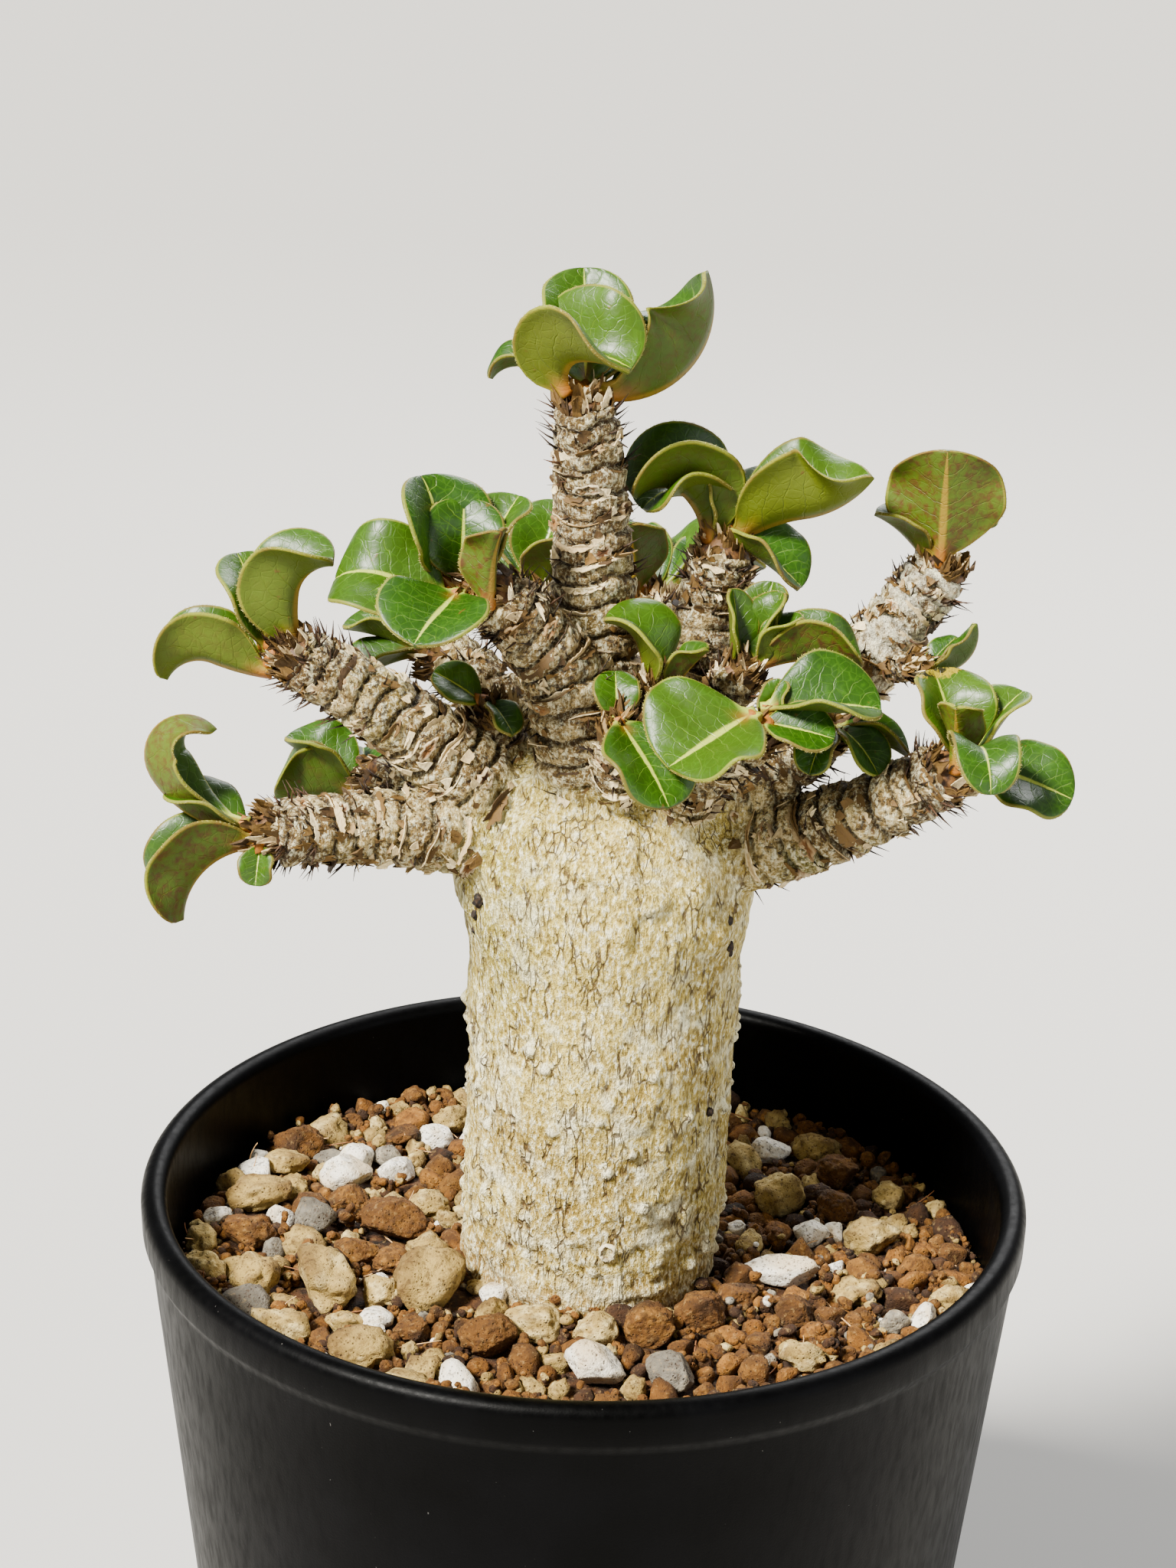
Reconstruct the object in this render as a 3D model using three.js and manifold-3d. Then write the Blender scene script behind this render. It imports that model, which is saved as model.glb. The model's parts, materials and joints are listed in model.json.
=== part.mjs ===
// A potted caudex succulent: a swollen pale trunk with ringed, bristly branches and rosettes of
// curled leathery leaves, standing in a granular mineral mix in a round black pot.
// Millimetres, +Z up, origin at the centre of the pot's base, seen in the photo from -Y.
import * as THREE from "three";
import { mergeVertices } from "three/addons/utils/BufferGeometryUtils.js";
import Module from "manifold-3d";

const wasm = await Module();
wasm.setup();

// ---------- driving sizes ----------
const GAP = 0.35; // clearance between neighbouring solids

const POT = {
  height: 108,
  rimRadius: 60,
  rimHeight: 5,
  baseRadius: 48.6,
  wall: 1.8,
  floor: 2.2,
  sides: 32,
  drainHoles: 6,
  drainRadius: 4,
  drainCircle: 33,
};

const SOIL_TOP = 94;

// trunk sections from the root end to the crown: height, centre x, half width, half depth
const TRUNK = [
  [66, -1.5, 11, 10],
  [76, -0.5, 16, 15],
  [86, 0, 17.2, 16.2],
  [94, 0.6, 17.2, 16.4],
  [104, 1.2, 17.4, 16.6],
  [116, 1.7, 17.7, 16.8],
  [130, 1.9, 17.8, 17],
  [142, 2, 18, 17.2],
  [150, 2, 19.4, 17.8],
  [157, 1.6, 20.5, 17],
  [163, 1, 17.5, 14.5],
  [168, 0.5, 12, 10.5],
  [172, 0.4, 6.5, 6],
];
const TRUNK_SIDES = 18;

// branches: the points that they grow through, then the radius at the foot and at the tip
const BRANCHES = {
  top: { through: [[-0.5, -4, 160], [-0.3, -2, 178], [-1.2, 0, 198], [-2.4, 0, 215]], foot: 6.8, tip: 3.8 },
  left_mid: { through: [[-0.5, -5, 158], [-3.5, -9, 180], [-8.5, -11, 189], [-13, -12.5, 194]], foot: 6.2, tip: 3.9 },
  left_mid_back: { through: [[-6, 2, 162], [-15, 7, 175], [-20, 9, 178.5]], foot: 4.8, tip: 3.6 },
  left_upper: { through: [[-6, -2, 156], [-18, -5, 169], [-30, -7, 179], [-38, -8, 184]], foot: 6.2, tip: 3.7 },
  left_lower: { through: [[-6, -3, 153], [-17, -6, 159.5], [-28, -9, 161.5], [-40.5, -13, 162]], foot: 5.8, tip: 3.9 },
  left_back: { through: [[-6, 4, 155], [-20, 9, 158.5], [-29, 12.5, 159.5]], foot: 4.8, tip: 3.4 },
  left_small: { through: [[-7, 0, 160], [-12, -0.5, 170], [-13.6, -1.5, 174]], foot: 3.8, tip: 2.8 },
  back_left: { through: [[-3, 6, 158], [-7, 18, 174], [-9, 25, 181]], foot: 5, tip: 3.6 },
  back_right: { through: [[4, 6, 158], [6, 20, 173], [8, 28, 179.5]], foot: 5, tip: 3.6 },
  right_centre: { through: [[4, 1, 160], [12, 4, 178], [14.6, 5, 189], [15.6, 5, 195]], foot: 5.4, tip: 3.9 },
  right_upper: { through: [[8, 3, 156], [19, 5, 164], [31, 7.5, 175], [43.8, 8, 192.4]], foot: 5.6, tip: 3.9 },
  right_twig: { through: [[35, 7.5, 179.5], [38, 4.5, 180.6], [40, 2.5, 181]], foot: 2.2, tip: 1.6 },
  front_a: { through: [[3, -4, 164], [6.5, -8, 176], [7.5, -9.5, 180.5]], foot: 3.6, tip: 2.8 },
  front_b: { through: [[7, -2, 162], [14, -3, 175], [18, -4, 181.5]], foot: 4.2, tip: 3 },
  front_c: { through: [[7, -6, 160], [14, -13, 172], [19.5, -15, 177]], foot: 4.2, tip: 3 },
  front_d: { through: [[9, -2, 158], [24, -4, 169], [29, -5, 174]], foot: 4.4, tip: 3.2 },
  front_e: { through: [[2, -9, 166], [2.4, -13, 172], [2.6, -15, 177.5]], foot: 3, tip: 2.2 },
  right_lower: { through: [[6, -2, 152], [19, -5, 157.5], [31, -8.5, 163.5], [44, -12, 171.8]], foot: 5.8, tip: 4 },
};
const BRANCH_SIDES = 7;
const RING_PITCH = 5.2; // distance between the leaf-scar rings on a branch
const RING_RELIEF = 0.07; // share of the radius that a ring stands proud
const BRISTLE = { length: 2.4, root: 0.9, radius: 0.32, perRing: 0.4 };

// rosettes: the growing point, then a row for each leaf:
// heading from +X (deg), lift above level (deg), length, width, fold of each half (deg), cup (deg),
// bend of the lower and of the upper half of the midrib (deg), roll (deg), and the shift of the base
const ROSETTES = {
  rosette_top: {
    at: [-2.6, 0, 217],
    leaves: [
      [-20, 130, 14, 18, 60, 0, 120, 30, 16, [-4.2, 0, 0.2]],
      [96, 78, 14.6, 13, 28, 0, 6, 18, 0, [0.2, 0, 0.4]],
      [8, -18, 24, 22, 54, 0, -62, -66, 16, [0.6, 0, 0]],
      [182, 60, 8, 7, 30, 0, 60, 60, 0, [-3.4, 3, 1.6]],
      [60, 45, 9, 9, 30, 0, 30, 20, 0],
    ],
  },
  rosette_left_mid: {
    at: [-17, -13.5, 194.5],
    leaves: [
      [184, 22, 15.2, 14, 20, 0, 0, 80, 40, [-0.4, -0.4, -0.6]],
      [128, 80, 12.5, 15, 30, 0, -8, 45, -8, [-2.4, 1.3, 1.6]],
      [80, 84, 10, 11, 26, 0, 0, 40, -14, [-0.4, 0.6, 1.2]],
      [244, -18, 11, 15, 24, 0, -6, 20, 6, [0.2, -1.0, 0.6]],
      [-40, 84, 9.5, 8, 60, 0, 0, 20, 10, [2.0, -1.8, 0.2]],
      [50, 66, 11, 10, 35, 0, 10, 20, 0, [1.5, 1, 1.8]],
    ],
  },
  rosette_left_mid_back: {
    at: [-22.5, 9.5, 179.5],
    leaves: [
      [-160, -5, 12, 9, 30, 0, 20, 20, 0],
      [170, 40, 10, 8, 40, 0, 30, 10, 0],
    ],
  },
  rosette_left_upper: {
    at: [-39.8, -8.2, 185.5],
    leaves: [
      [0, 100, 14, 14, 68, 0, 20, 80, 8, [-0.3, 0, 0.4]],
      [125, 68, 12.5, 11, 30, 0, 10, 20, 0, [-1.2, 0, -0.6]],
      [183, 4, 14, 13, 66, 0, -15, 85, -10, [-0.5, 0, -3.2]],
    ],
  },
  rosette_left_lower: {
    at: [-42.7, -13.8, 162.6],
    leaves: [
      [178, -6, 27, 12, 40, 0, -62, -172, -10, [0, 0, 1]],
      [190, 0, 15, 15, 62, 0, 45, 45, -6, [1, 0, -1.2]],
      [168, 30, 11, 10, 30, 0, 10, 10, 0],
      [-100, -50, 4.6, 5, 30, 0, 10, 10, 0, [1, 0, -2]],
    ],
  },
  rosette_left_back: {
    at: [-31, 13.5, 158.5],
    leaves: [
      [183, -6, 10.5, 14, 74, 0, 0, 0, -8, [0, 0, -0.5]],
      [165, 38, 11, 12, 45, 0, 10, 0, 0],
      [95, 30, 9, 8, 30, 0, 20, 20, 0],
    ],
  },
  rosette_left_small: {
    at: [-14.2, -2, 176.5],
    leaves: [
      [184, 40, 6.6, 6.2, 20, 0, 10, 10, 40, [0.4, -0.6, 0.4]],
      [-60, -10, 6, 5, 35, 0, 10, 10, 0],
    ],
  },
  rosette_back_left: {
    at: [-9.5, 26.5, 183],
    leaves: [
      [45, 40, 11, 11, 38, 0, 10, 20, 0],
      [-30, 60, 10, 10, 42, 0, 0, 20, 0],
      [100, 30, 14, 13, 38, 0, 20, 30, 0],
      [160, 30, 14, 13, 38, 0, 20, 30, 0],
      [60, 60, 12, 11, 43, 0, 0, 20, 0],
    ],
  },
  rosette_back_right: {
    at: [8.5, 29.5, 181.5],
    leaves: [
      [30, 30, 14, 13, 38, 0, 20, 30, 0],
      [90, 35, 15, 14, 38, 0, 20, 40, 0],
      [125, 40, 13, 12, 38, 0, 20, 30, 0],
      [-100, 70, 12, 10, 32, 0, 0, 20, 0, [-3.5, 0, 1]],
    ],
  },
  rosette_right_centre: {
    at: [15.5, 5, 197.5],
    leaves: [
      [205, 66, 12.5, 14, 30, 0, 54, 60, 0, [1, 3.4, 2.2]],
      [186, 86, 14.5, 17, 62, 0, 45, 90, -6],
      [-8, 38, 19.5, 20, 62, 0, 28, -46, 4],
      [150, 80, 10, 9, 40, 0, 0, 10, 0],
      [-24, -30, 11.5, 12, 35, 0, 0, 10, 0, [-0.4, 0, 0.6]],
      [90, 40, 13, 12, 35, 0, 20, 30, 0],
    ],
  },
  rosette_right_upper: {
    at: [43.9, 8, 194.6],
    leaves: [
      [-98, 88, 14.8, 15.5, 14, 0, 4, 4, 0],
      [176, 50, 9, 8, 35, 0, 10, 20, 0],
      [60, 30, 10, 9, 35, 0, 20, 30, 0],
    ],
  },
  rosette_right_twig: {
    at: [41.6, 1.3, 181.6],
    leaves: [
      [-16, -4, 9, 7, 35, 0, -50, -60, 0],
      [34, 55, 5, 4, 30, 0, 20, 0, 0],
    ],
  },
  rosette_front_a: {
    at: [7.6, -9.8, 182.6],
    leaves: [
      [166, 86, 11, 13, 30, 0, 20, 74, 0, [0.8, 0, -0.2]],
      [-20, 60, 7, 6, 40, 0, 10, 10, 0],
    ],
  },
  rosette_front_b: {
    at: [19, -4.2, 183.6],
    leaves: [
      [0, 22, 13, 12, 62, 0, 20, 30, 0],
      [30, 60, 9, 8, 50, 0, -10, 0, 0],
      [60, 55, 10, 8, 40, 0, -10, 0, 0],
      [140, 80, 9, 6, 40, 0, 0, 0, 0],
      [-5, 50, 8, 7, 50, 0, 0, 0, 0],
    ],
  },
  rosette_front_c: {
    at: [21, -15.5, 178.5],
    leaves: [
      [-144, -16, 13, 20, 26, 0, 5, 0, 14, [-0.8, -1.6, 2.6]],
      [0, 6, 14, 15, 36, 0, 4, 12, -14, [-1.4, 0.5, 2.6]],
      [60, 70, 6, 5, 50, 0, 0, 0, 0],
      [-14, -6, 8.5, 7.5, 22, 0, 0, 10, -30, [-1.6, -1.8, 1.6]],
    ],
  },
  rosette_front_e: {
    at: [2.8, -15.6, 179.5],
    leaves: [
      [-56, -30, 13.5, 12.5, 18, 0, 0, 16, 0, [-1, 0, 0]],
      [95, 62, 6, 6, 20, 0, 10, 20, 0, [-0.2, -0.6, 0]],
    ],
  },
  rosette_front_d: {
    at: [30, -5.5, 175.5],
    leaves: [
      [0, 5, 9, 7, 40, 0, 30, 10, 0],
      [-50, -8, 8, 7, 30, 0, 20, 20, 0],
      [-115, -14, 7, 6, 30, 0, 20, 20, 0],
    ],
  },
  rosette_right_lower: {
    at: [46.2, -13, 174.2],
    leaves: [
      [120, 58, 11.5, 13, 36, 0, 0, 10, 0],
      [-110, 84, 9, 8, 50, 0, 10, 10, 0, [-0.6, 0, 0]],
      [-84, 72, 14.5, 9, 26, 0, 60, 84, 0, [0.4, 0, 0]],
      [-18, -10, 12, 11.5, 15, 0, 5, 10, -30, [0.6, 0.4, -0.6]],
      [40, 62, 11, 9, 40, 0, 20, 20, 0],
    ],
  },
};
const LEAF = {
  thick: 1,
  petiole: 0.1, // half width of the foot, as a share of the widest half width
  wideAt: 0.53, // where along the midrib the blade is widest
  rows: [0, 0.16, 0.4, 0.66, 0.88, 1],
  smallRows: [0, 0.25, 0.6, 1], // for a leaf no wider than smallWidth
  smallWidth: 10,
  columns: [-1, 0, 1],
  cuppedColumns: [-1, -0.5, 0, 0.5, 1], // for a leaf whose halves are curved across
  sunk: 1, // how far the foot runs back into the bud
  tipShare: 0.22,
};
const BUD = { sides: 6, taper: 0.45, beyond: 1.2 };
const STALK = { sides: 4, radius: 0.8 };
const ROSETTE_OFFSET = 1.6; // from the growing point to the foot of a leaf

// stones that show on the surface: x, y, length, width, turn (deg)
const STONES = [
  [-42, 28, 7.6, 6.3, 10],
  [-43, 23, 6, 4.6, 0],
  [-41, 15, 6.1, 4.2, 90],
  [-34, 19, 7, 6.6, 20],
  [-27, 22, 9.4, 4, 48],
  [-22, 33, 5.3, 4.3, 0],
  [-20, 38, 5.2, 4.8, 0],
  [-27, 33, 4.6, 4, 30],
  [-46, 12, 9, 5.6, 8],
  [-51, 7, 4, 3.4, 0],
  [-46, 2, 7, 5.6, 0],
  [-38, 6, 7.2, 5.8, -10],
  [-52, -1, 5.4, 4.4, 80],
  [-51, -8, 6.8, 4.6, -20],
  [-44, -11, 7.6, 6, 80],
  [-34, -12, 12, 8.2, 105],
  [-31, -2, 5.8, 5, 0],
  [-26, -4, 5.4, 4, 10],
  [-26, 5, 9.4, 7, -8],
  [-33, 12, 5.4, 4.4, 0],
  [-22, 12, 6, 4.8, 0],
  [-21, -3, 5.8, 5.4, 40],
  [-20, -12, 9.6, 8.6, 60],
  [-27, -13, 5.2, 5, 0],
  [-22, -21, 5.6, 3.8, 10],
  [-27, -22, 3.4, 2.8, 30],
  [-31, -20, 5, 3.6, 10],
  [-28, -28, 8, 5.6, 0],
  [-39, -23, 8.4, 5, -25],
  [-35, -30, 5, 4, 0],
  [-12, -17, 4.6, 3.8, 70],
  [-6, -20, 8.5, 5.2, -25],
  [-12, -24, 7.6, 6.6, 15],
  [2, -21, 5.8, 4.8, 0],
  [9, -20, 6.5, 5.8, 20],
  [16, -16, 6.9, 6, 0],
  [21, -10, 5.8, 5, 60],
  [23, 4, 5.2, 3.6, 80],
  [27, -3, 10.6, 5, 10],
  [2, -30, 8.4, 6.6, 0],
  [12, -31, 7.4, 6, -15],
  [27, 33, 7, 4.4, 0],
  [34, 33, 7.2, 4.8, -20],
  [37, 26, 6.3, 5.6, 0],
  [28, 18, 7.4, 6.6, 30],
  [32, 9, 5.8, 4.4, -20],
  [40, 7, 7.6, 5.6, -10],
  [37, -7, 6, 4.2, -15],
  [46, -13, 5.2, 3.8, 75],
  [42, -14, 4, 3.4, 0],
  [50, -8, 5.6, 3.8, 30],
  [29, -24, 6.6, 4.2, -10],
  [44, 20, 4.6, 4.2, 0],
  [22, 10, 3.4, 2.6, 0],
  [36, 16, 6, 5, 15],
  [29, -13, 5.6, 4.8, 40],
];
const FILLER = { pitch: 13, size: 9.5, jitter: 1.6, seed: 11 };
const STONE_HEIGHT = 0.75; // of its mean width
const STONE_ROUGH = 0.12;
const SMALL_STONE = 7.3; // shorter stones get the fewest faces
const ROOT_STUB = { at: [3.2, -16.2, 105], radius: 1.6 };

const COLOURS = {
  pot: 0x15171a,
  soil: 0x8a5a36,
  bark: 0xd8c7a4,
  leaf: 0x6f9a3a,
};

// ---------- small tools ----------
const radians = THREE.MathUtils.degToRad;
const vector = (p) => new THREE.Vector3(...p);

// A repeatable stream of numbers from 0 to 1.
function randomFrom(seed) {
  let state = seed;
  return () => {
    state = (state * 16807) % 2147483647;
    return state / 2147483647;
  };
}

function solidFrom(geometry) {
  const plain = geometry.index ? geometry.toNonIndexed() : geometry.clone();
  const bare = new THREE.BufferGeometry();
  bare.setAttribute("position", plain.getAttribute("position"));
  const merged = mergeVertices(bare, 1e-3);
  return new wasm.Manifold(
    new wasm.Mesh({
      numProp: 3,
      vertProperties: merged.attributes.position.array,
      triVerts: new Uint32Array(merged.index.array),
    }),
  );
}

function geometryFrom(solid) {
  const made = solid.getMesh();
  const geometry = new THREE.BufferGeometry();
  geometry.setAttribute("position", new THREE.BufferAttribute(made.vertProperties, 3));
  geometry.setIndex(new THREE.BufferAttribute(made.triVerts, 1));
  geometry.computeVertexNormals();
  return geometry;
}

// The largest body of a solid, so that no loose scrap of a cut is left.
function largest(solid) {
  const bodies = solid.decompose();
  return bodies.reduce((best, body) => (body.volume() > best.volume() ? body : best));
}

const unite = (solids) => wasm.Manifold.union(solids);

// A closed solid through rings of points, each ring anticlockwise round the way it goes.
function loft(rings) {
  const count = rings[0].length;
  const points = rings.flat();
  const faces = [];
  for (let i = 0; i + 1 < rings.length; i++) {
    for (let j = 0; j < count; j++) {
      const k = (j + 1) % count;
      const a = i * count + j;
      const b = i * count + k;
      faces.push(a, b, b + count, a, b + count, a + count);
    }
  }
  const last = (rings.length - 1) * count;
  for (let j = 1; j + 1 < count; j++) {
    faces.push(0, j + 1, j, last, last + j, last + j + 1);
  }
  return facesToSolid(points, faces);
}

function facesToSolid(points, faces) {
  const geometry = new THREE.BufferGeometry().setFromPoints(points);
  geometry.setIndex(faces);
  return solidFrom(geometry);
}

function circle(centre, along, radius, sides, stretch = 1) {
  const aside = Math.abs(along.y) < 0.9 ? new THREE.Vector3(0, 1, 0) : new THREE.Vector3(1, 0, 0);
  const u = new THREE.Vector3().crossVectors(aside, along).normalize();
  const v = new THREE.Vector3().crossVectors(along, u);
  return Array.from({ length: sides }, (_, i) => {
    const angle = (2 * Math.PI * i) / sides;
    return centre
      .clone()
      .addScaledVector(u, radius * Math.cos(angle))
      .addScaledVector(v, radius * stretch * Math.sin(angle));
  });
}

// ---------- pot ----------
function pot() {
  const { rimRadius, rimHeight, height, baseRadius, wall, floor } = POT;
  const shoulder = height - rimHeight;
  const profile = [
    [0, 0],
    [baseRadius - 1, 0],
    [baseRadius, 1],
    [rimRadius - 0.8, shoulder - 1.2],
    [rimRadius, shoulder],
    [rimRadius, height - 1.6],
    [rimRadius - 0.6, height - 0.4],
    [rimRadius - 1.8, height],
    [rimRadius - 3, height - 0.4],
    [rimRadius - 3.5, height - 1.4],
    [rimRadius - 3.5, shoulder - 1.2],
    [baseRadius - wall, floor],
    [0, floor],
  ];
  const points = profile.map(([r, z]) => new THREE.Vector2(r, z));
  const lathe = new THREE.LatheGeometry(points, POT.sides).rotateX(Math.PI / 2);
  const drains = Array.from({ length: POT.drainHoles }, (_, i) => {
    const angle = (2 * Math.PI * i) / POT.drainHoles;
    const hole = new THREE.CylinderGeometry(POT.drainRadius, POT.drainRadius, 3 * floor, 8);
    hole.rotateX(Math.PI / 2);
    hole.translate(POT.drainCircle * Math.cos(angle), POT.drainCircle * Math.sin(angle), 0);
    return solidFrom(hole);
  });
  return solidFrom(lathe).subtract(unite(drains));
}

// Half the inside width of the pot at a height.
function potInside(z) {
  const shoulder = POT.height - POT.rimHeight - 1.2;
  const share = (z - POT.floor) / (shoulder - POT.floor);
  return THREE.MathUtils.lerp(POT.baseRadius - POT.wall, POT.rimRadius - 3.5, share);
}

// ---------- trunk and branches, one grown piece ----------
function trunk(grow = 0) {
  const rings = TRUNK.map(([z, x, halfWidth, halfDepth], level) => {
    const lowest = level === 0;
    const centre = new THREE.Vector3(x, 0, lowest ? z - grow : z);
    return circle(centre, new THREE.Vector3(0, 0, 1), halfWidth + grow, TRUNK_SIDES,
      (halfDepth + grow) / (halfWidth + grow));
  });
  return loft(rings);
}

function branchLine(branch) {
  return new THREE.CatmullRomCurve3(branch.through.map(vector), false, "catmullrom", 0.5);
}

function branchRadius(branch, share) {
  return THREE.MathUtils.lerp(branch.foot, branch.tip, share);
}

function ringedBranch(branch) {
  const line = branchLine(branch);
  const steps = 2 * Math.max(2, Math.round(line.getLength() / RING_PITCH));
  const rings = Array.from({ length: steps + 1 }, (_, i) => {
    const share = i / steps;
    const proud = i % 2 ? 1 + RING_RELIEF : 1 - RING_RELIEF / 2;
    const radius = branchRadius(branch, share) * proud;
    return circle(line.getPointAt(share), line.getTangentAt(share), radius, BRANCH_SIDES);
  });
  return loft(rings);
}

// The dry leaf stipules: three-sided spikes that lean towards the branch's tip.
function bristles(branch, random) {
  const line = branchLine(branch);
  const rings = Math.round(line.getLength() / RING_PITCH);
  const spikes = [];
  for (let ring = Math.ceil(rings * 0.4); ring < rings; ring++) {
    const share = Math.min((ring + 0.5) / rings, 0.94);
    const here = line.getPointAt(share);
    const along = line.getTangentAt(share);
    const radius = branchRadius(branch, share);
    const count = Math.round(BRISTLE.perRing + random());
    for (let i = 0; i < count; i++) {
      const around = circle(new THREE.Vector3(), along, 1, 360)[Math.floor(random() * 360)];
      const lean = around.clone().addScaledVector(along, 0.6).normalize();
      const root = here.clone().addScaledVector(around, radius).addScaledVector(lean, -BRISTLE.root);
      const point = here.clone().addScaledVector(around, radius).addScaledVector(lean, BRISTLE.length);
      const foot = circle(root, lean, BRISTLE.radius * 1.6, 3);
      const blunt = circle(point, lean, BRISTLE.radius * 0.5, 3);
      spikes.push(loft([foot, blunt]));
    }
  }
  return spikes;
}

function caudex() {
  const random = randomFrom(7);
  const branches = Object.values(BRANCHES);
  const stub = new THREE.IcosahedronGeometry(ROOT_STUB.radius, 0).translate(...ROOT_STUB.at);
  return unite([
    trunk(),
    solidFrom(stub),
    ...branches.map(ringedBranch),
    ...branches.flatMap((branch) => bristles(branch, random)),
  ]);
}

// ---------- leaves ----------
// Half width of the blade at a share of its length, from 0 to 1.
function bladeShape(share) {
  const { petiole, wideAt } = LEAF;
  if (share < wideAt) {
    const rise = Math.max(0, (share - 0.08) / (wideAt - 0.08));
    return petiole + (1 - petiole) * Math.sin((Math.PI / 2) * rise) ** 0.85;
  }
  const fall = (share - wideAt) / (1 - wideAt);
  return Math.max(LEAF.tipShare, Math.sqrt(Math.max(0, 1 - fall ** 2.2)));
}

// A folded, curled blade: both faces are the same grid, so they never cross.
function leaf(at, row) {
  const [heading, lift, reach, width, fold, cup, bend, curl, roll, shift] = row;
  let length = reach;
  const level = new THREE.Vector3(Math.cos(radians(heading)), Math.sin(radians(heading)), 0);
  const up = new THREE.Vector3(0, 0, 1);
  const start = vector(at).add(vector(shift || [0, 0, 0])).addScaledVector(level, ROSETTE_OFFSET);
  const along = level.clone().multiplyScalar(Math.cos(radians(lift)));
  along.addScaledVector(up, Math.sin(radians(lift)));
  const upper = level.clone().multiplyScalar(-Math.sin(radians(lift)));
  upper.addScaledVector(up, Math.cos(radians(lift)));
  upper.applyAxisAngle(along, -radians(roll));
  const aside = new THREE.Vector3().crossVectors(along, upper);

  const small = width <= LEAF.smallWidth;
  const columns = cup && !small ? LEAF.cuppedColumns : LEAF.columns;
  const stepsPerRow = 6;
  const rows = [];
  const here = start.clone().addScaledVector(along, -LEAF.sunk);
  length += LEAF.sunk;
  let before = 0;
  for (const share of small ? LEAF.smallRows : LEAF.rows) {
    const step = (share - before) / stepsPerRow;
    for (let i = 0; i < stepsPerRow; i++) {
      const turn = radians(before + (i + 0.5) * step < 0.5 ? bend : curl) * (step / 0.5);
      along.applyAxisAngle(aside, -turn);
      upper.applyAxisAngle(aside, -turn);
      here.addScaledVector(along, length * step);
    }
    before = share;
    const half = (bladeShape(share) * width) / 2;
    rows.push(columns.map((column) => {
      const side = Math.sign(column) || 1;
      const out = Math.abs(column);
      const slope = radians(fold + cup * out);
      const face = radians(fold + 2 * cup * out);
      const point = here.clone()
        .addScaledVector(aside, side * out * half * Math.cos(slope))
        .addScaledVector(upper, out * half * Math.sin(slope));
      const normal = upper.clone().multiplyScalar(column ? Math.cos(face) : 1);
      normal.addScaledVector(aside, column ? -side * Math.sin(face) : 0);
      return { point, normal: normal.normalize() };
    }));
  }
  return shift ? [blade(rows), stalk(vector(at), start)] : [blade(rows)];
}

// A leaf that stands off the bud is carried by a short stalk.
function stalk(centre, foot) {
  const way = foot.clone().sub(centre).normalize();
  return loft([
    circle(centre, way, STALK.radius, STALK.sides),
    circle(foot.clone().addScaledVector(way, 0.6), way, STALK.radius, STALK.sides),
  ]);
}

function blade(rows) {
  const columns = rows[0].length;
  const cell = (i, j) => i * columns + j;
  const below = rows.length * columns;
  const half = LEAF.thick / 2;
  const points = [half, -half].flatMap((offset) =>
    rows.flatMap((row) => row.map(({ point, normal }) => point.clone().addScaledVector(normal, offset))),
  );
  const faces = [];
  const quad = (a, b, c, d) => faces.push(a, b, c, a, c, d);
  for (let i = 0; i + 1 < rows.length; i++) {
    for (let j = 0; j + 1 < columns; j++) {
      const [a, b, c, d] = [cell(i, j), cell(i + 1, j), cell(i + 1, j + 1), cell(i, j + 1)];
      quad(a, d, c, b);
      faces.push(below + a, below + c, below + d, below + a, below + b, below + c);
    }
    quad(cell(i, 0), cell(i + 1, 0), below + cell(i + 1, 0), below + cell(i, 0));
    const edge = columns - 1;
    quad(cell(i + 1, edge), cell(i, edge), below + cell(i, edge), below + cell(i + 1, edge));
  }
  const end = rows.length - 1;
  for (let j = 0; j + 1 < columns; j++) {
    quad(cell(0, j + 1), cell(0, j), below + cell(0, j), below + cell(0, j + 1));
    quad(cell(end, j), cell(end, j + 1), below + cell(end, j + 1), below + cell(end, j));
  }
  return facesToSolid(points, faces);
}

// A bud that carries on from the branch's tip, with every leaf of the shoot sunk into it.
function rosette(name) {
  const { at, leaves } = ROSETTES[name];
  const branch = BRANCHES[name.replace("rosette_", "")];
  const line = branchLine(branch);
  const tip = line.getPointAt(1);
  const along = line.getTangentAt(1);
  const top = vector(at);
  const way = top.clone().sub(tip).normalize();
  const radius = branch.tip * 0.9;
  const bud = loft([
    circle(tip.clone().addScaledVector(along, GAP), along, radius, BUD.sides),
    circle(tip.clone().addScaledVector(along, GAP + 1), along, radius * 0.95, BUD.sides),
    circle(top.clone().addScaledVector(way, BUD.beyond), way, radius * BUD.taper, BUD.sides),
  ]);
  return largest(unite([bud, ...leaves.flatMap((row) => leaf(at, row))]));
}

// ---------- soil with its stones ----------
function stone(x, y, length, width, turn, random) {
  const shape = length < SMALL_STONE ? new THREE.OctahedronGeometry(1, 0) : new THREE.IcosahedronGeometry(1, 0);
  const place = shape.getAttribute("position");
  const nudged = new Map();
  for (let i = 0; i < place.count; i++) {
    const key = [place.getX(i), place.getY(i), place.getZ(i)].map((v) => v.toFixed(3)).join();
    if (!nudged.has(key)) nudged.set(key, 1 + STONE_ROUGH * (2 * random() - 1));
    const swell = nudged.get(key);
    place.setXYZ(i, place.getX(i) * swell, place.getY(i) * swell, place.getZ(i) * swell);
  }
  const high = ((length + width) / 4) * STONE_HEIGHT;
  shape.scale(length / 2, width / 2, high);
  shape.rotateZ(radians(turn));
  shape.translate(x, y, SOIL_TOP + 0.35 * high);
  return solidFrom(shape);
}

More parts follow.
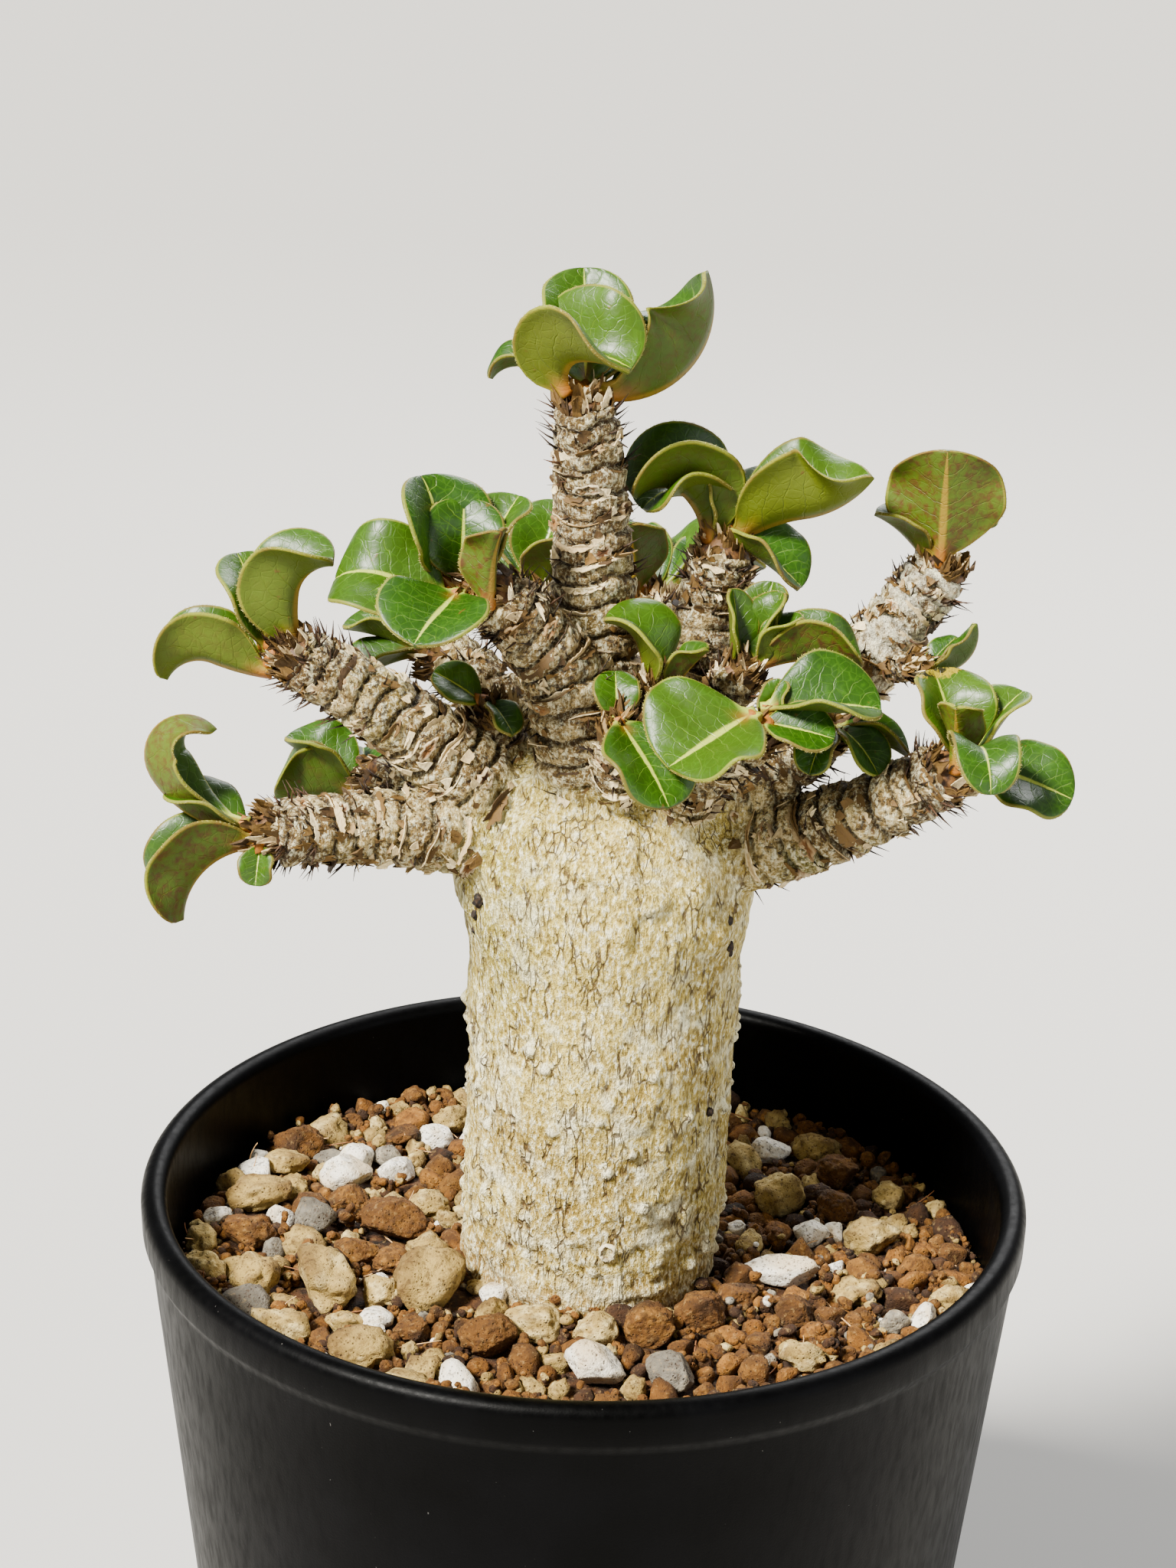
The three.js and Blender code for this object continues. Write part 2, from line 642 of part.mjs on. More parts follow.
// Smaller stones fill the gaps that the listed ones leave, out to the pot's wall.
function fillers(random) {
  const made = [];
  const { pitch, size, jitter } = FILLER;
  const reach = potInside(SOIL_TOP) - size / 2 - 1;
  for (let y = -reach; y <= reach; y += pitch * 0.87) {
    const odd = Math.round((y + reach) / (pitch * 0.87)) % 2;
    for (let x = -reach + (odd * pitch) / 2; x <= reach; x += pitch) {
      const px = x + jitter * (2 * random() - 1);
      const py = y + jitter * (2 * random() - 1);
      const away = Math.hypot(px, py);
      const clear = STONES.every(([sx, sy, long, wide]) => Math.hypot(px - sx, py - sy) > (long + wide) / 4 + 2);
      if (clear && away < reach && away > 20) {
        made.push(stone(px, py, size * (0.85 + 0.4 * random()), size * 0.85, 180 * random(), random));
      }
    }
  }
  return made;
}

function soilMix() {
  const random = randomFrom(FILLER.seed);
  const bottom = POT.floor + GAP;
  const profile = [
    [0, bottom],
    [potInside(bottom) - GAP, bottom],
    [potInside(SOIL_TOP) - GAP, SOIL_TOP],
    [0, SOIL_TOP],
  ];
  const points = profile.map(([r, z]) => new THREE.Vector2(r, z));
  const bed = new THREE.LatheGeometry(points, POT.sides).rotateX(Math.PI / 2);
  const stones = STONES.map(([x, y, long, wide, turn]) => stone(x, y, long, wide, turn, random));
  const heap = unite([solidFrom(bed), ...stones, ...fillers(random)]);
  return largest(heap.subtract(trunk(GAP)));
}

// ---------- the assembly ----------
function named(name, solid, colour, roughness) {
  const material = new THREE.MeshStandardMaterial({ color: colour, roughness, metalness: 0 });
  const mesh = new THREE.Mesh(geometryFrom(solid), material);
  mesh.name = name;
  return mesh;
}

const plant = new THREE.Group();
plant.add(named("pot", pot(), COLOURS.pot, 0.45));
plant.add(named("soil_mix", soilMix(), COLOURS.soil, 0.95));
plant.add(named("caudex", caudex(), COLOURS.bark, 0.85));
for (const name of Object.keys(ROSETTES)) {
  plant.add(named(name, rosette(name), COLOURS.leaf, 0.4));
}

export default plant;
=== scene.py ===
"""The looks of the potted caudex succulent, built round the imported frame.

Every table is in millimetres in the frame of the part: origin at the centre of the pot's base, +Z up,
and the photo looks along +Y. The tables of the trunk, the branches, the leaves and the stones hold the
part's own numbers.
"""

import json
import math

import bmesh
import bpy
import numpy as np
from mathutils import Matrix, Vector

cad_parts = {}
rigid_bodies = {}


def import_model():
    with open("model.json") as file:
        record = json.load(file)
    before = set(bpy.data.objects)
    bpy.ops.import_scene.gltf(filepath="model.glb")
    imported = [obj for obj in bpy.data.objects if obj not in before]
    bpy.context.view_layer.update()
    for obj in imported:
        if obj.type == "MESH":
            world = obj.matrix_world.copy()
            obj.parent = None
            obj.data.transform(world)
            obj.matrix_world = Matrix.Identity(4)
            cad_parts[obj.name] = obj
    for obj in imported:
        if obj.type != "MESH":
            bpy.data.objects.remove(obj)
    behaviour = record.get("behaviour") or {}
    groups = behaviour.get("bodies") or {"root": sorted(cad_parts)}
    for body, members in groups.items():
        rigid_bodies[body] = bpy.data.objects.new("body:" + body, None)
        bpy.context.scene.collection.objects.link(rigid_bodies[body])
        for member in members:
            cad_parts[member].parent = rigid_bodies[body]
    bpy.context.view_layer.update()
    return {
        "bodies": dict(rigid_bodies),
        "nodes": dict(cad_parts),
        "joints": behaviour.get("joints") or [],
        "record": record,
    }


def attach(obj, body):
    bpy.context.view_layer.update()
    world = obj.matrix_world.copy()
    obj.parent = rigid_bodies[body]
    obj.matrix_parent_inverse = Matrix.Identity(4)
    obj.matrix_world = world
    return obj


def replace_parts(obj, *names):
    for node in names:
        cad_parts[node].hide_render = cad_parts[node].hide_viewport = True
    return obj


MM = 0.001
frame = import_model()

# ---------------------------------------------------------------- driving sizes, as in the part
POT_HEIGHT = 108
RIM_RADIUS = 60
RIM_HEIGHT = 5
LIP_RADIUS = 1.75
BASE_RADIUS = 48.6
POT_WALL = 1.8
POT_FLOOR = 2.2
DRAIN_HOLES = 6
DRAIN_CIRCLE = 33
DRAIN_RADIUS = 4
SOIL_TOP = 94
ROSETTE_OFFSET = 1.6
LEAF_SUNK = 1.0
WIDE_AT = 0.53
PETIOLE = 0.1

# trunk sections: height, centre x, half width, half depth
TRUNK = [
    (66, -1.5, 11, 10), (76, -0.5, 16, 15), (86, 0, 17.2, 16.2), (94, 0.6, 17.2, 16.4),
    (104, 1.2, 17.4, 16.6), (116, 1.7, 17.7, 16.8), (130, 1.9, 17.8, 17), (142, 2, 18, 17.2),
    (150, 2, 19.4, 17.8), (157, 1.6, 20.5, 17), (163, 1, 17.5, 14.5), (168, 0.5, 12, 10.5),
    (172, 0.4, 6.5, 6),
]

# branches: the points that they grow through, the radius at the foot and at the tip
BRANCHES = {
    "top": ([(-0.5, -4, 160), (-0.3, -2, 178), (-1.2, 0, 198), (-2.4, 0, 215)], 6.8, 3.8),
    "left_mid": ([(-0.5, -5, 158), (-3.5, -9, 180), (-8.5, -11, 189), (-13, -12.5, 194)], 6.2, 3.9),
    "left_mid_back": ([(-6, 2, 162), (-15, 7, 175), (-20, 9, 178.5)], 4.8, 3.6),
    "left_upper": ([(-6, -2, 156), (-18, -5, 169), (-30, -7, 179), (-38, -8, 184)], 6.2, 3.7),
    "left_lower": ([(-6, -3, 153), (-17, -6, 159.5), (-28, -9, 161.5), (-40.5, -13, 162)], 5.8, 3.9),
    "left_back": ([(-6, 4, 155), (-20, 9, 158.5), (-29, 12.5, 159.5)], 4.8, 3.4),
    "left_small": ([(-7, 0, 160), (-12, -0.5, 170), (-13.6, -1.5, 174)], 3.8, 2.8),
    "back_left": ([(-3, 6, 158), (-7, 18, 174), (-9, 25, 181)], 5, 3.6),
    "back_right": ([(4, 6, 158), (6, 20, 173), (8, 28, 179.5)], 5, 3.6),
    "right_centre": ([(4, 1, 160), (12, 4, 178), (14.6, 5, 189), (15.6, 5, 195)], 5.4, 3.9),
    "right_upper": ([(8, 3, 156), (19, 5, 164), (31, 7.5, 175), (43.8, 8, 192.4)], 5.6, 3.9),
    "right_twig": ([(35, 7.5, 179.5), (38, 4.5, 180.6), (40, 2.5, 181)], 2.2, 1.6),
    "front_a": ([(3, -4, 164), (6.5, -8, 176), (7.5, -9.5, 180.5)], 3.6, 2.8),
    "front_b": ([(7, -2, 162), (14, -3, 175), (18, -4, 181.5)], 4.2, 3),
    "front_c": ([(7, -6, 160), (14, -13, 172), (19.5, -15, 177)], 4.2, 3),
    "front_d": ([(9, -2, 158), (24, -4, 169), (29, -5, 174)], 4.4, 3.2),
    "front_e": ([(2, -9, 166), (2.4, -13, 172), (2.6, -15, 177.5)], 3, 2.2),
    "right_lower": ([(6, -2, 152), (19, -5, 157.5), (31, -8.5, 163.5), (44, -12, 171.8)], 5.8, 4),
}

# rosettes: the growing point, then for each leaf its heading, lift, length, width, fold,
# bend of the lower and of the upper half of its midrib, roll, and the shift of its foot
ROSETTES = {
    "top": ((-2.6, 0, 217), [
        (-20, 130, 14, 18, 60, 120, 30, 16, (-4.2, 0, 0.2)),
        (96, 78, 14.6, 13, 28, 6, 18, 0, (0.2, 0, 0.4)), (8, -18, 24, 22, 54, -62, -66, 16, (0.6, 0, 0)),
        (182, 60, 8, 7, 30, 60, 60, 0, (-3.4, 3, 1.6)), (60, 45, 9, 9, 30, 30, 20, 0),
    ]),
    "left_mid": ((-17, -13.5, 194.5), [
        (184, 22, 15.2, 14, 20, 0, 80, 40, (-0.4, -0.4, -0.6)),
        (128, 80, 12.5, 15, 30, -8, 45, -8, (-2.4, 1.3, 1.6)),
        (80, 84, 10, 11, 26, 0, 40, -14, (-0.4, 0.6, 1.2)),
        (244, -18, 11, 15, 24, -6, 20, 6, (0.2, -1.0, 0.6)),
        (-40, 84, 9.5, 8, 60, 0, 20, 10, (2.0, -1.8, 0.2)), (50, 66, 11, 10, 35, 10, 20, 0, (1.5, 1, 1.8)),
    ]),
    "left_mid_back": ((-22.5, 9.5, 179.5), [
        (-160, -5, 12, 9, 30, 20, 20, 0), (170, 40, 10, 8, 40, 30, 10, 0),
    ]),
    "left_upper": ((-39.8, -8.2, 185.5), [
        (0, 100, 14, 14, 68, 20, 80, 8, (-0.3, 0, 0.4)),
        (125, 68, 12.5, 11, 30, 10, 20, 0, (-1.2, 0, -0.6)),
        (183, 4, 14, 13, 66, -15, 85, -10, (-0.5, 0, -3.2)),
    ]),
    "left_lower": ((-42.7, -13.8, 162.6), [
        (178, -6, 27, 12, 40, -62, -172, -10, (0, 0, 1)), (190, 0, 15, 15, 62, 45, 45, -6, (1, 0, -1.2)),
        (168, 30, 11, 10, 30, 10, 10, 0), (-100, -50, 4.6, 5, 30, 10, 10, 0, (1, 0, -2)),
    ]),
    "left_back": ((-31, 13.5, 158.5), [
        (183, -6, 10.5, 14, 74, 0, 0, -8, (0, 0, -0.5)), (165, 38, 11, 12, 45, 10, 0, 0),
        (95, 30, 9, 8, 30, 20, 20, 0),
    ]),
    "left_small": ((-14.2, -2, 176.5), [
        (184, 40, 6.6, 6.2, 20, 10, 10, 40, (0.4, -0.6, 0.4)), (-60, -10, 6, 5, 35, 10, 10, 0),
    ]),
    "back_left": ((-9.5, 26.5, 183), [
        (45, 40, 11, 11, 38, 10, 20, 0), (-30, 60, 10, 10, 42, 0, 20, 0), (100, 30, 14, 13, 38, 20, 30, 0),
        (160, 30, 14, 13, 38, 20, 30, 0), (60, 60, 12, 11, 43, 0, 20, 0),
    ]),
    "back_right": ((8.5, 29.5, 181.5), [
        (30, 30, 14, 13, 38, 20, 30, 0), (90, 35, 15, 14, 38, 20, 40, 0), (125, 40, 13, 12, 38, 20, 30, 0),
        (-100, 70, 12, 10, 32, 0, 20, 0, (-3.5, 0, 1)),
    ]),
    "right_centre": ((15.5, 5, 197.5), [
        (205, 66, 12.5, 14, 30, 54, 60, 0, (1, 3.4, 2.2)), (186, 86, 14.5, 17, 62, 45, 90, -6),
        (-8, 38, 19.5, 20, 62, 28, -46, 4), (150, 80, 10, 9, 40, 0, 10, 0),
        (-24, -30, 11.5, 12, 35, 0, 10, 0, (-0.4, 0, 0.6)), (90, 40, 13, 12, 35, 20, 30, 0),
    ]),
    "right_upper": ((43.9, 8, 194.6), [
        (-98, 88, 14.8, 15.5, 14, 4, 4, 0), (176, 50, 9, 8, 35, 10, 20, 0), (60, 30, 10, 9, 35, 20, 30, 0),
    ]),
    "right_twig": ((41.6, 1.3, 181.6), [
        (-16, -4, 9, 7, 35, -50, -60, 0), (34, 55, 5, 4, 30, 20, 0, 0),
    ]),
    "front_a": ((7.6, -9.8, 182.6), [
        (166, 86, 11, 13, 30, 20, 74, 0, (0.8, 0, -0.2)), (-20, 60, 7, 6, 40, 10, 10, 0),
    ]),
    "front_b": ((19, -4.2, 183.6), [
        (0, 22, 13, 12, 62, 20, 30, 0), (30, 60, 9, 8, 50, -10, 0, 0), (60, 55, 10, 8, 40, -10, 0, 0),
        (140, 80, 9, 6, 40, 0, 0, 0), (-5, 50, 8, 7, 50, 0, 0, 0),
    ]),
    "front_c": ((21, -15.5, 178.5), [
        (-144, -16, 13, 20, 26, 5, 0, 14, (-0.8, -1.6, 2.6)),
        (0, 6, 14, 15, 36, 4, 12, -14, (-1.4, 0.5, 2.6)), (60, 70, 6, 5, 50, 0, 0, 0),
        (-14, -6, 8.5, 7.5, 22, 0, 10, -30, (-1.6, -1.8, 1.6)),
    ]),
    "front_e": ((2.8, -15.6, 179.5), [
        (-56, -30, 13.5, 12.5, 18, 0, 16, 0, (-1, 0, 0)), (95, 62, 6, 6, 20, 10, 20, 0, (-0.2, -0.6, 0)),
    ]),
    "front_d": ((30, -5.5, 175.5), [
        (0, 5, 9, 7, 40, 30, 10, 0), (-50, -8, 8, 7, 30, 20, 20, 0), (-115, -14, 7, 6, 30, 20, 20, 0),
    ]),
    "right_lower": ((46.2, -13, 174.2), [
        (120, 58, 11.5, 13, 36, 0, 10, 0), (-110, 84, 9, 8, 50, 10, 10, 0, (-0.6, 0, 0)),
        (-84, 72, 14.5, 9, 26, 60, 84, 0, (0.4, 0, 0)),
        (-18, -10, 12, 11.5, 15, 5, 10, -30, (0.6, 0.4, -0.6)), (40, 62, 11, 9, 40, 20, 20, 0),
    ]),
}

# stones that show on the surface: kind, x, y, length, width, turn
STONES = [
    ("brown", -42, 28, 7.6, 6.3, 10), ("tan", -43, 23, 6, 4.6, 0), ("tan", -41, 15, 6.1, 4.2, 90),
    ("white", -34, 19, 7, 6.6, 20), ("white", -27, 22, 9.4, 4, 48), ("white", -22, 33, 5.3, 4.3, 0),
    ("tan", -20, 38, 5.2, 4.8, 0), ("brown", -27, 33, 4.6, 4, 30), ("tan", -46, 12, 9, 5.6, 8),
    ("white", -51, 7, 4, 3.4, 0), ("brown", -46, 2, 7, 5.6, 0), ("grey", -38, 6, 7.2, 5.8, -10),
    ("tan", -52, -1, 5.4, 4.4, 80), ("tan", -51, -8, 6.8, 4.6, -20), ("tan", -44, -11, 7.6, 6, 80),
    ("tan", -34, -12, 12, 8.2, 105), ("brown", -31, -2, 5.8, 5, 0), ("brown", -26, -4, 5.4, 4, 10),
    ("brown", -26, 5, 9.4, 7, -8), ("brown", -33, 12, 5.4, 4.4, 0), ("tan", -22, 12, 6, 4.8, 0),
    ("tan", -21, -3, 5.8, 5.4, 40), ("tan", -20, -12, 9.6, 8.6, 60), ("tan", -27, -13, 5.2, 5, 0),
    ("brown", -22, -21, 5.6, 3.8, 10), ("white", -27, -22, 3.4, 2.8, 30), ("tan", -31, -20, 5, 3.6, 10),
    ("tan", -28, -28, 8, 5.6, 0), ("tan", -39, -23, 8.4, 5, -25), ("brown", -35, -30, 5, 4, 0),
    ("tan", -12, -17, 4.6, 3.8, 70), ("tan", -6, -20, 8.5, 5.2, -25), ("brown", -12, -24, 7.6, 6.6, 15),
    ("tan", 2, -21, 5.8, 4.8, 0), ("brown", 9, -20, 6.5, 5.8, 20), ("brown", 16, -16, 6.9, 6, 0),
    ("brown", 21, -10, 5.8, 5, 60), ("tan", 23, 4, 5.2, 3.6, 80), ("white", 27, -3, 10.6, 5, 10),
    ("white", 2, -30, 8.4, 6.6, 0), ("grey", 12, -31, 7.4, 6, -15), ("white", 27, 33, 7, 4.4, 0),
    ("tan", 34, 33, 7.2, 4.8, -20), ("brown", 37, 26, 6.3, 5.6, 0), ("tan", 28, 18, 7.4, 6.6, 30),
    ("white", 32, 9, 5.8, 4.4, -20), ("tan", 40, 7, 7.6, 5.6, -10), ("tan", 37, -7, 6, 4.2, -15),
    ("white", 46, -13, 5.2, 3.8, 75), ("grey", 42, -14, 4, 3.4, 0), ("tan", 50, -8, 5.6, 3.8, 30),
    ("tan", 29, -24, 6.6, 4.2, -10), ("tan", 44, 20, 4.6, 4.2, 0), ("white", 22, 10, 3.4, 2.6, 0),
    ("brown", 36, 16, 6, 5, 15), ("brown", 29, -13, 5.6, 4.8, 40),
]


# ---------------------------------------------------------------- numbers from a seed
def value_noise(points, seed=0):
    """Smooth noise from 0 to 1 at each point, one cell to the unit."""
    low = np.floor(points).astype(np.int64)
    part = points - low
    part = part * part * (3 - 2 * part)
    total = np.zeros(len(points))
    for corner in range(8):
        step = np.array([corner & 1, corner >> 1 & 1, corner >> 2 & 1])
        weight = np.prod(np.where(step, part, 1 - part), axis=1)
        total += weight * scatter(low + step, seed)
    return total


def scatter(cell, seed):
    """A repeatable number from 0 to 1 for each cell of whole numbers."""
    n = cell[:, 0] * 73856093 ^ cell[:, 1] * 19349663 ^ cell[:, 2] * 83492791 ^ (seed + 1) * 961748927
    n = (n ^ (n >> 13)) * 1274126177 & 0x7FFFFFFF
    n = (n ^ (n >> 15)) * 668265263 & 0x7FFFFFFF
    return ((n ^ (n >> 11)) & 0xFFFF) / 65535


def layered(points, seed=0, octaves=3):
    """Noise from -1 to 1 in layers, each half as large and twice as fine."""
    total = np.zeros(len(points))
    share = 1
    for octave in range(octaves):
        total += share * (2 * value_noise(points * 2**octave, seed + octave) - 1)
        share *= 0.5
    return total / (2 - 2 * share)


def smooth_step(low, high, value):
    share = np.clip((value - low) / (high - low), 0, 1)
    return share * share * (3 - 2 * share)


def blend(first, second, share):
    """Colours, or any rows, mixed by a share for each row."""
    share = np.asarray(share)[:, None]
    return np.asarray(first) * (1 - share) + np.asarray(second) * share


def coated(colour, *coats):
    """A colour under coats of others, each with the share that it covers at each point."""
    for other, share in coats:
        colour = blend(colour, other, share)
    return colour


def between(where, places, rows):
    """Rows of numbers, read off between the places where they are known."""
    return np.stack([np.interp(where, places, column) for column in np.asarray(rows).T], -1)


def unit(vector):
    vector = np.asarray(vector, float)
    return vector / np.linalg.norm(vector, axis=-1, keepdims=True)


def turned(vector, axis, angle):
    """A vector, or each row of vectors, turned about a unit axis by an angle in radians."""
    along = np.multiply.outer(vector @ axis, axis)
    return vector * math.cos(angle) + np.cross(axis, vector) * math.sin(angle) + along * (1 - math.cos(angle))


def circle(sides):
    """Even angles round a circle."""
    return 2 * math.pi * np.arange(sides) / sides


def reach_of(path):
    """The distance along a path from its first point to each of its points."""
    return np.concatenate([[0], np.cumsum(np.linalg.norm(np.diff(path, axis=0), axis=1))])


# ---------------------------------------------------------------- meshes from numpy
class Heap:
    """Points and faces that grow into one mesh, with attributes at each point."""

    def __init__(self):
        self.points = []
        self.faces = []
        self.values = {}
        self.count = 0

    def add(self, points, faces, **values):
        """Adds points, arrays of faces that count from the first of them, and attributes."""
        self.points.append(points)
        self.faces += [part + self.count for part in faces]
        for key, value in values.items():
            self.values.setdefault(key, []).append(np.broadcast_to(value, (len(points), 3)))
        self.count += len(points)

    def made(self, name, material, slot, smooth=True):
        values = {key: np.concatenate(rows) for key, rows in self.values.items()}
        return make(name, np.concatenate(self.points), self.faces, material, slot, values, smooth)


def make(name, points, faces, material, slot, attributes=None, smooth=True):
    """One object from points in millimetres and arrays of faces, each array with its own corner count."""
    mesh = bpy.data.meshes.new(name)
    mesh.vertices.add(len(points))
    mesh.vertices.foreach_set("co", (np.asarray(points, np.float64) * MM).astype(np.float32).ravel())
    corners = np.concatenate([f.ravel() for f in faces]).astype(np.int32)
    sizes = np.concatenate([np.full(len(f), f.shape[1]) for f in faces])
    mesh.loops.add(len(corners))
    mesh.loops.foreach_set("vertex_index", corners)
    mesh.polygons.add(len(sizes))
    mesh.polygons.foreach_set("loop_start", np.concatenate([[0], np.cumsum(sizes)[:-1]]).astype(np.int32))
    mesh.polygons.foreach_set("use_smooth", np.full(len(sizes), smooth))
    for key, values in (attributes or {}).items():
        layer = mesh.attributes.new(key, "FLOAT_VECTOR", "POINT")
        layer.data.foreach_set("vector", np.asarray(values, np.float32).ravel())
    mesh.update(calc_edges=True)
    mesh.validate()
    piece = bpy.data.objects.new(name, mesh)
    bpy.context.scene.collection.objects.link(piece)
    mesh.materials.append(material)
    if slot:
        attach(piece, "root")
    return piece


def keep_modified(piece):
    """Makes the mesh that the modifiers give the piece's own."""
    graph = bpy.context.evaluated_depsgraph_get()
    mesh = bpy.data.meshes.new_from_object(piece.evaluated_get(graph))
    piece.modifiers.clear()
    piece.data = mesh


def grid_faces(rows, columns, closed=False):
    """Quads of a grid whose columns may close into a ring."""
    i = np.arange(rows - 1)[:, None]
    j = np.arange(columns if closed else columns - 1)[None, :]
    k = (j + 1) % columns
    corners = [i * columns + j, i * columns + k, (i + 1) * columns + k, (i + 1) * columns + j]
    return np.stack([np.broadcast_to(c, (rows - 1, j.shape[1])) for c in corners], -1).reshape(-1, 4)


def lofted(rings, ends=None):
    """A closed solid through rings of points, with a fan of triangles at each end."""
    foot, tip = ends or (rings[0].mean(0), rings[-1].mean(0))
    count, sides = len(rings), len(rings[0])
    last = (count - 1) * sides
    j = np.arange(sides)
    k = (j + 1) % sides
    fans = np.vstack([np.column_stack([np.full(sides, count * sides), k, j]),
                      np.column_stack([np.full(sides, count * sides + 1), j + last, k + last])])
    return np.vstack([*rings, foot, tip]), [grid_faces(count, sides, closed=True), fans]


def lathe(rows, sides):
    """A closed solid of revolution whose section of radii and heights starts and ends on the axis."""
    flat = np.stack([np.cos(circle(sides)), np.sin(circle(sides))], 1)
    rings = [np.column_stack([flat * radius, np.full(sides, height)]) for radius, height in rows[1:-1]]
    return lofted(rings, ((0, 0, rows[0][1]), (0, 0, rows[-1][1])))


def ring(centre, side, other, half_wide, half_deep, sides):
    turn = circle(sides)
    return centre + np.outer(np.cos(turn) * half_wide, side) + np.outer(np.sin(turn) * half_deep, other)


def tube(centres, radii, side, other, sides):
    """A closed solid of round rings that all lie the same way."""
    return lofted([ring(centre, side, other, r, r, sides) for centre, r in zip(centres, radii)])


def sheet(middle, half, rows, columns):
    """A closed thin plate on both sides of a grid of points."""
    grid = grid_faces(rows, columns)
    number = np.arange(rows * columns).reshape(rows, columns)
    rim = np.concatenate([number[0], number[1:, -1], number[-1, -2::-1], number[-2:0:-1, 0]])
    after = np.roll(rim, -1)
    edge = np.column_stack([rim, after, after + number.size, rim + number.size])
    return np.vstack([middle + half, middle - half]), [np.vstack([grid[:, ::-1], grid + number.size, edge])]


def normals_of(points, quads):
    """A unit normal at each point."""
    corner = points[quads]
    cross = np.cross(corner[:, 2] - corner[:, 0], corner[:, 3] - corner[:, 1])
    total = np.zeros_like(points)
    for axis in range(3):
        for k in range(4):
            total[:, axis] += np.bincount(quads[:, k], cross[:, axis], len(points))
    return total / np.maximum(np.linalg.norm(total, axis=1), 1e-12)[:, None]


def ball(levels):
    """The points and triangles of a sphere of radius 1."""
    shape = bmesh.new()
    bmesh.ops.create_icosphere(shape, subdivisions=levels, radius=1)
    points = np.array([v.co for v in shape.verts])
    faces = np.array([[v.index for v in f.verts] for f in shape.faces])
    shape.free()
    return points, faces


# ---------------------------------------------------------------- lines of the trunk and the branches
LINE_STEP = 0.5


class Line:
    """A smooth line through a branch's points, sampled evenly, with a frame that doesn't twist."""

    def __init__(self, through, foot, tip):
        points = np.array(through, float)
        padded = np.vstack([2 * points[0] - points[1], points, 2 * points[-1] - points[-2]])
        t = np.linspace(0, 1, 60, endpoint=False)[:, None]
        dense = []
        for i in range(len(points) - 1):
            a, b, c, d = padded[i:i + 4]
            slope_b, slope_c = (c - a) / 2, (d - b) / 2
            dense.append((2 * b - 2 * c + slope_b + slope_c) * t**3
                         + (3 * c - 3 * b - 2 * slope_b - slope_c) * t**2 + slope_b * t + b)
        dense = np.vstack(dense + [points[-1:]])
        reach = reach_of(dense)
        self.length = reach[-1]
        self.reach = np.linspace(0, self.length, max(8, int(self.length / LINE_STEP)) + 1)
        self.points = between(self.reach, reach, dense)
        self.along = unit(np.gradient(self.points, axis=0))
        self.radius = foot + (tip - foot) * self.reach / self.length
        side = unit(np.cross(self.along[0], (0.3, 1, 0.2)))
        sides = []
        for along in self.along:
            side = unit(side - along * np.dot(side, along))
            sides.append(side)
        self.side = np.array(sides)
        self.other = np.cross(self.along, self.side)

    def radius_at(self, reach):
        return np.interp(reach, self.reach, self.radius)

    def at(self, reach, around, out):
        """Points at a distance along the line, an angle round it, and a distance from its axis."""
        frame = (self.points, self.side, self.other)
        middle, side, other = (between(reach, self.reach, rows) for rows in frame)
        around, out = np.asarray(around)[..., None], np.asarray(out)[..., None]
        return middle + (side * np.cos(around) + other * np.sin(around)) * out

    def skin(self, reach, around, share, off):
        """Points at a share of the radius, with the ways along the branch and out of it."""
        radius = self.radius_at(reach)
        spot = self.at(reach, around, radius * share)
        outward = unit(self.at(reach, around, radius + off) - spot)
        return spot, unit(between(reach, self.reach, self.along)), outward


LINES = {name: Line(*row) for name, row in BRANCHES.items()}


def trunk_at(height):
    """Centre x, half width and half depth of the trunk at a height."""
    rows = np.array(TRUNK)
    return between(height, rows[:, 0], rows[:, 1:]).T


# ---------------------------------------------------------------- materials
class Flow:
    """A node's output, which takes plain arithmetic."""

    def __init__(self, paint, socket):
        self.paint = paint
        self.socket = socket

    def __add__(self, other):
        return self.paint.math("ADD", self, other)

    def __sub__(self, other):
        return self.paint.math("SUBTRACT", self, other)

    def __rsub__(self, other):
        return self.paint.math("SUBTRACT", other, self)

    def __mul__(self, other):
        return self.paint.math("MULTIPLY", self, other)

    def ramp(self, low, high, first=0, last=1):
        """Runs smoothly from the first value at low to the last at high."""
        values = {"Value": self, "From_Min": low, "From_Max": high, "To_Min": first, "To_Max": last}
        return self.paint.node("MapRange", values, "Result", interpolation_type="SMOOTHSTEP")


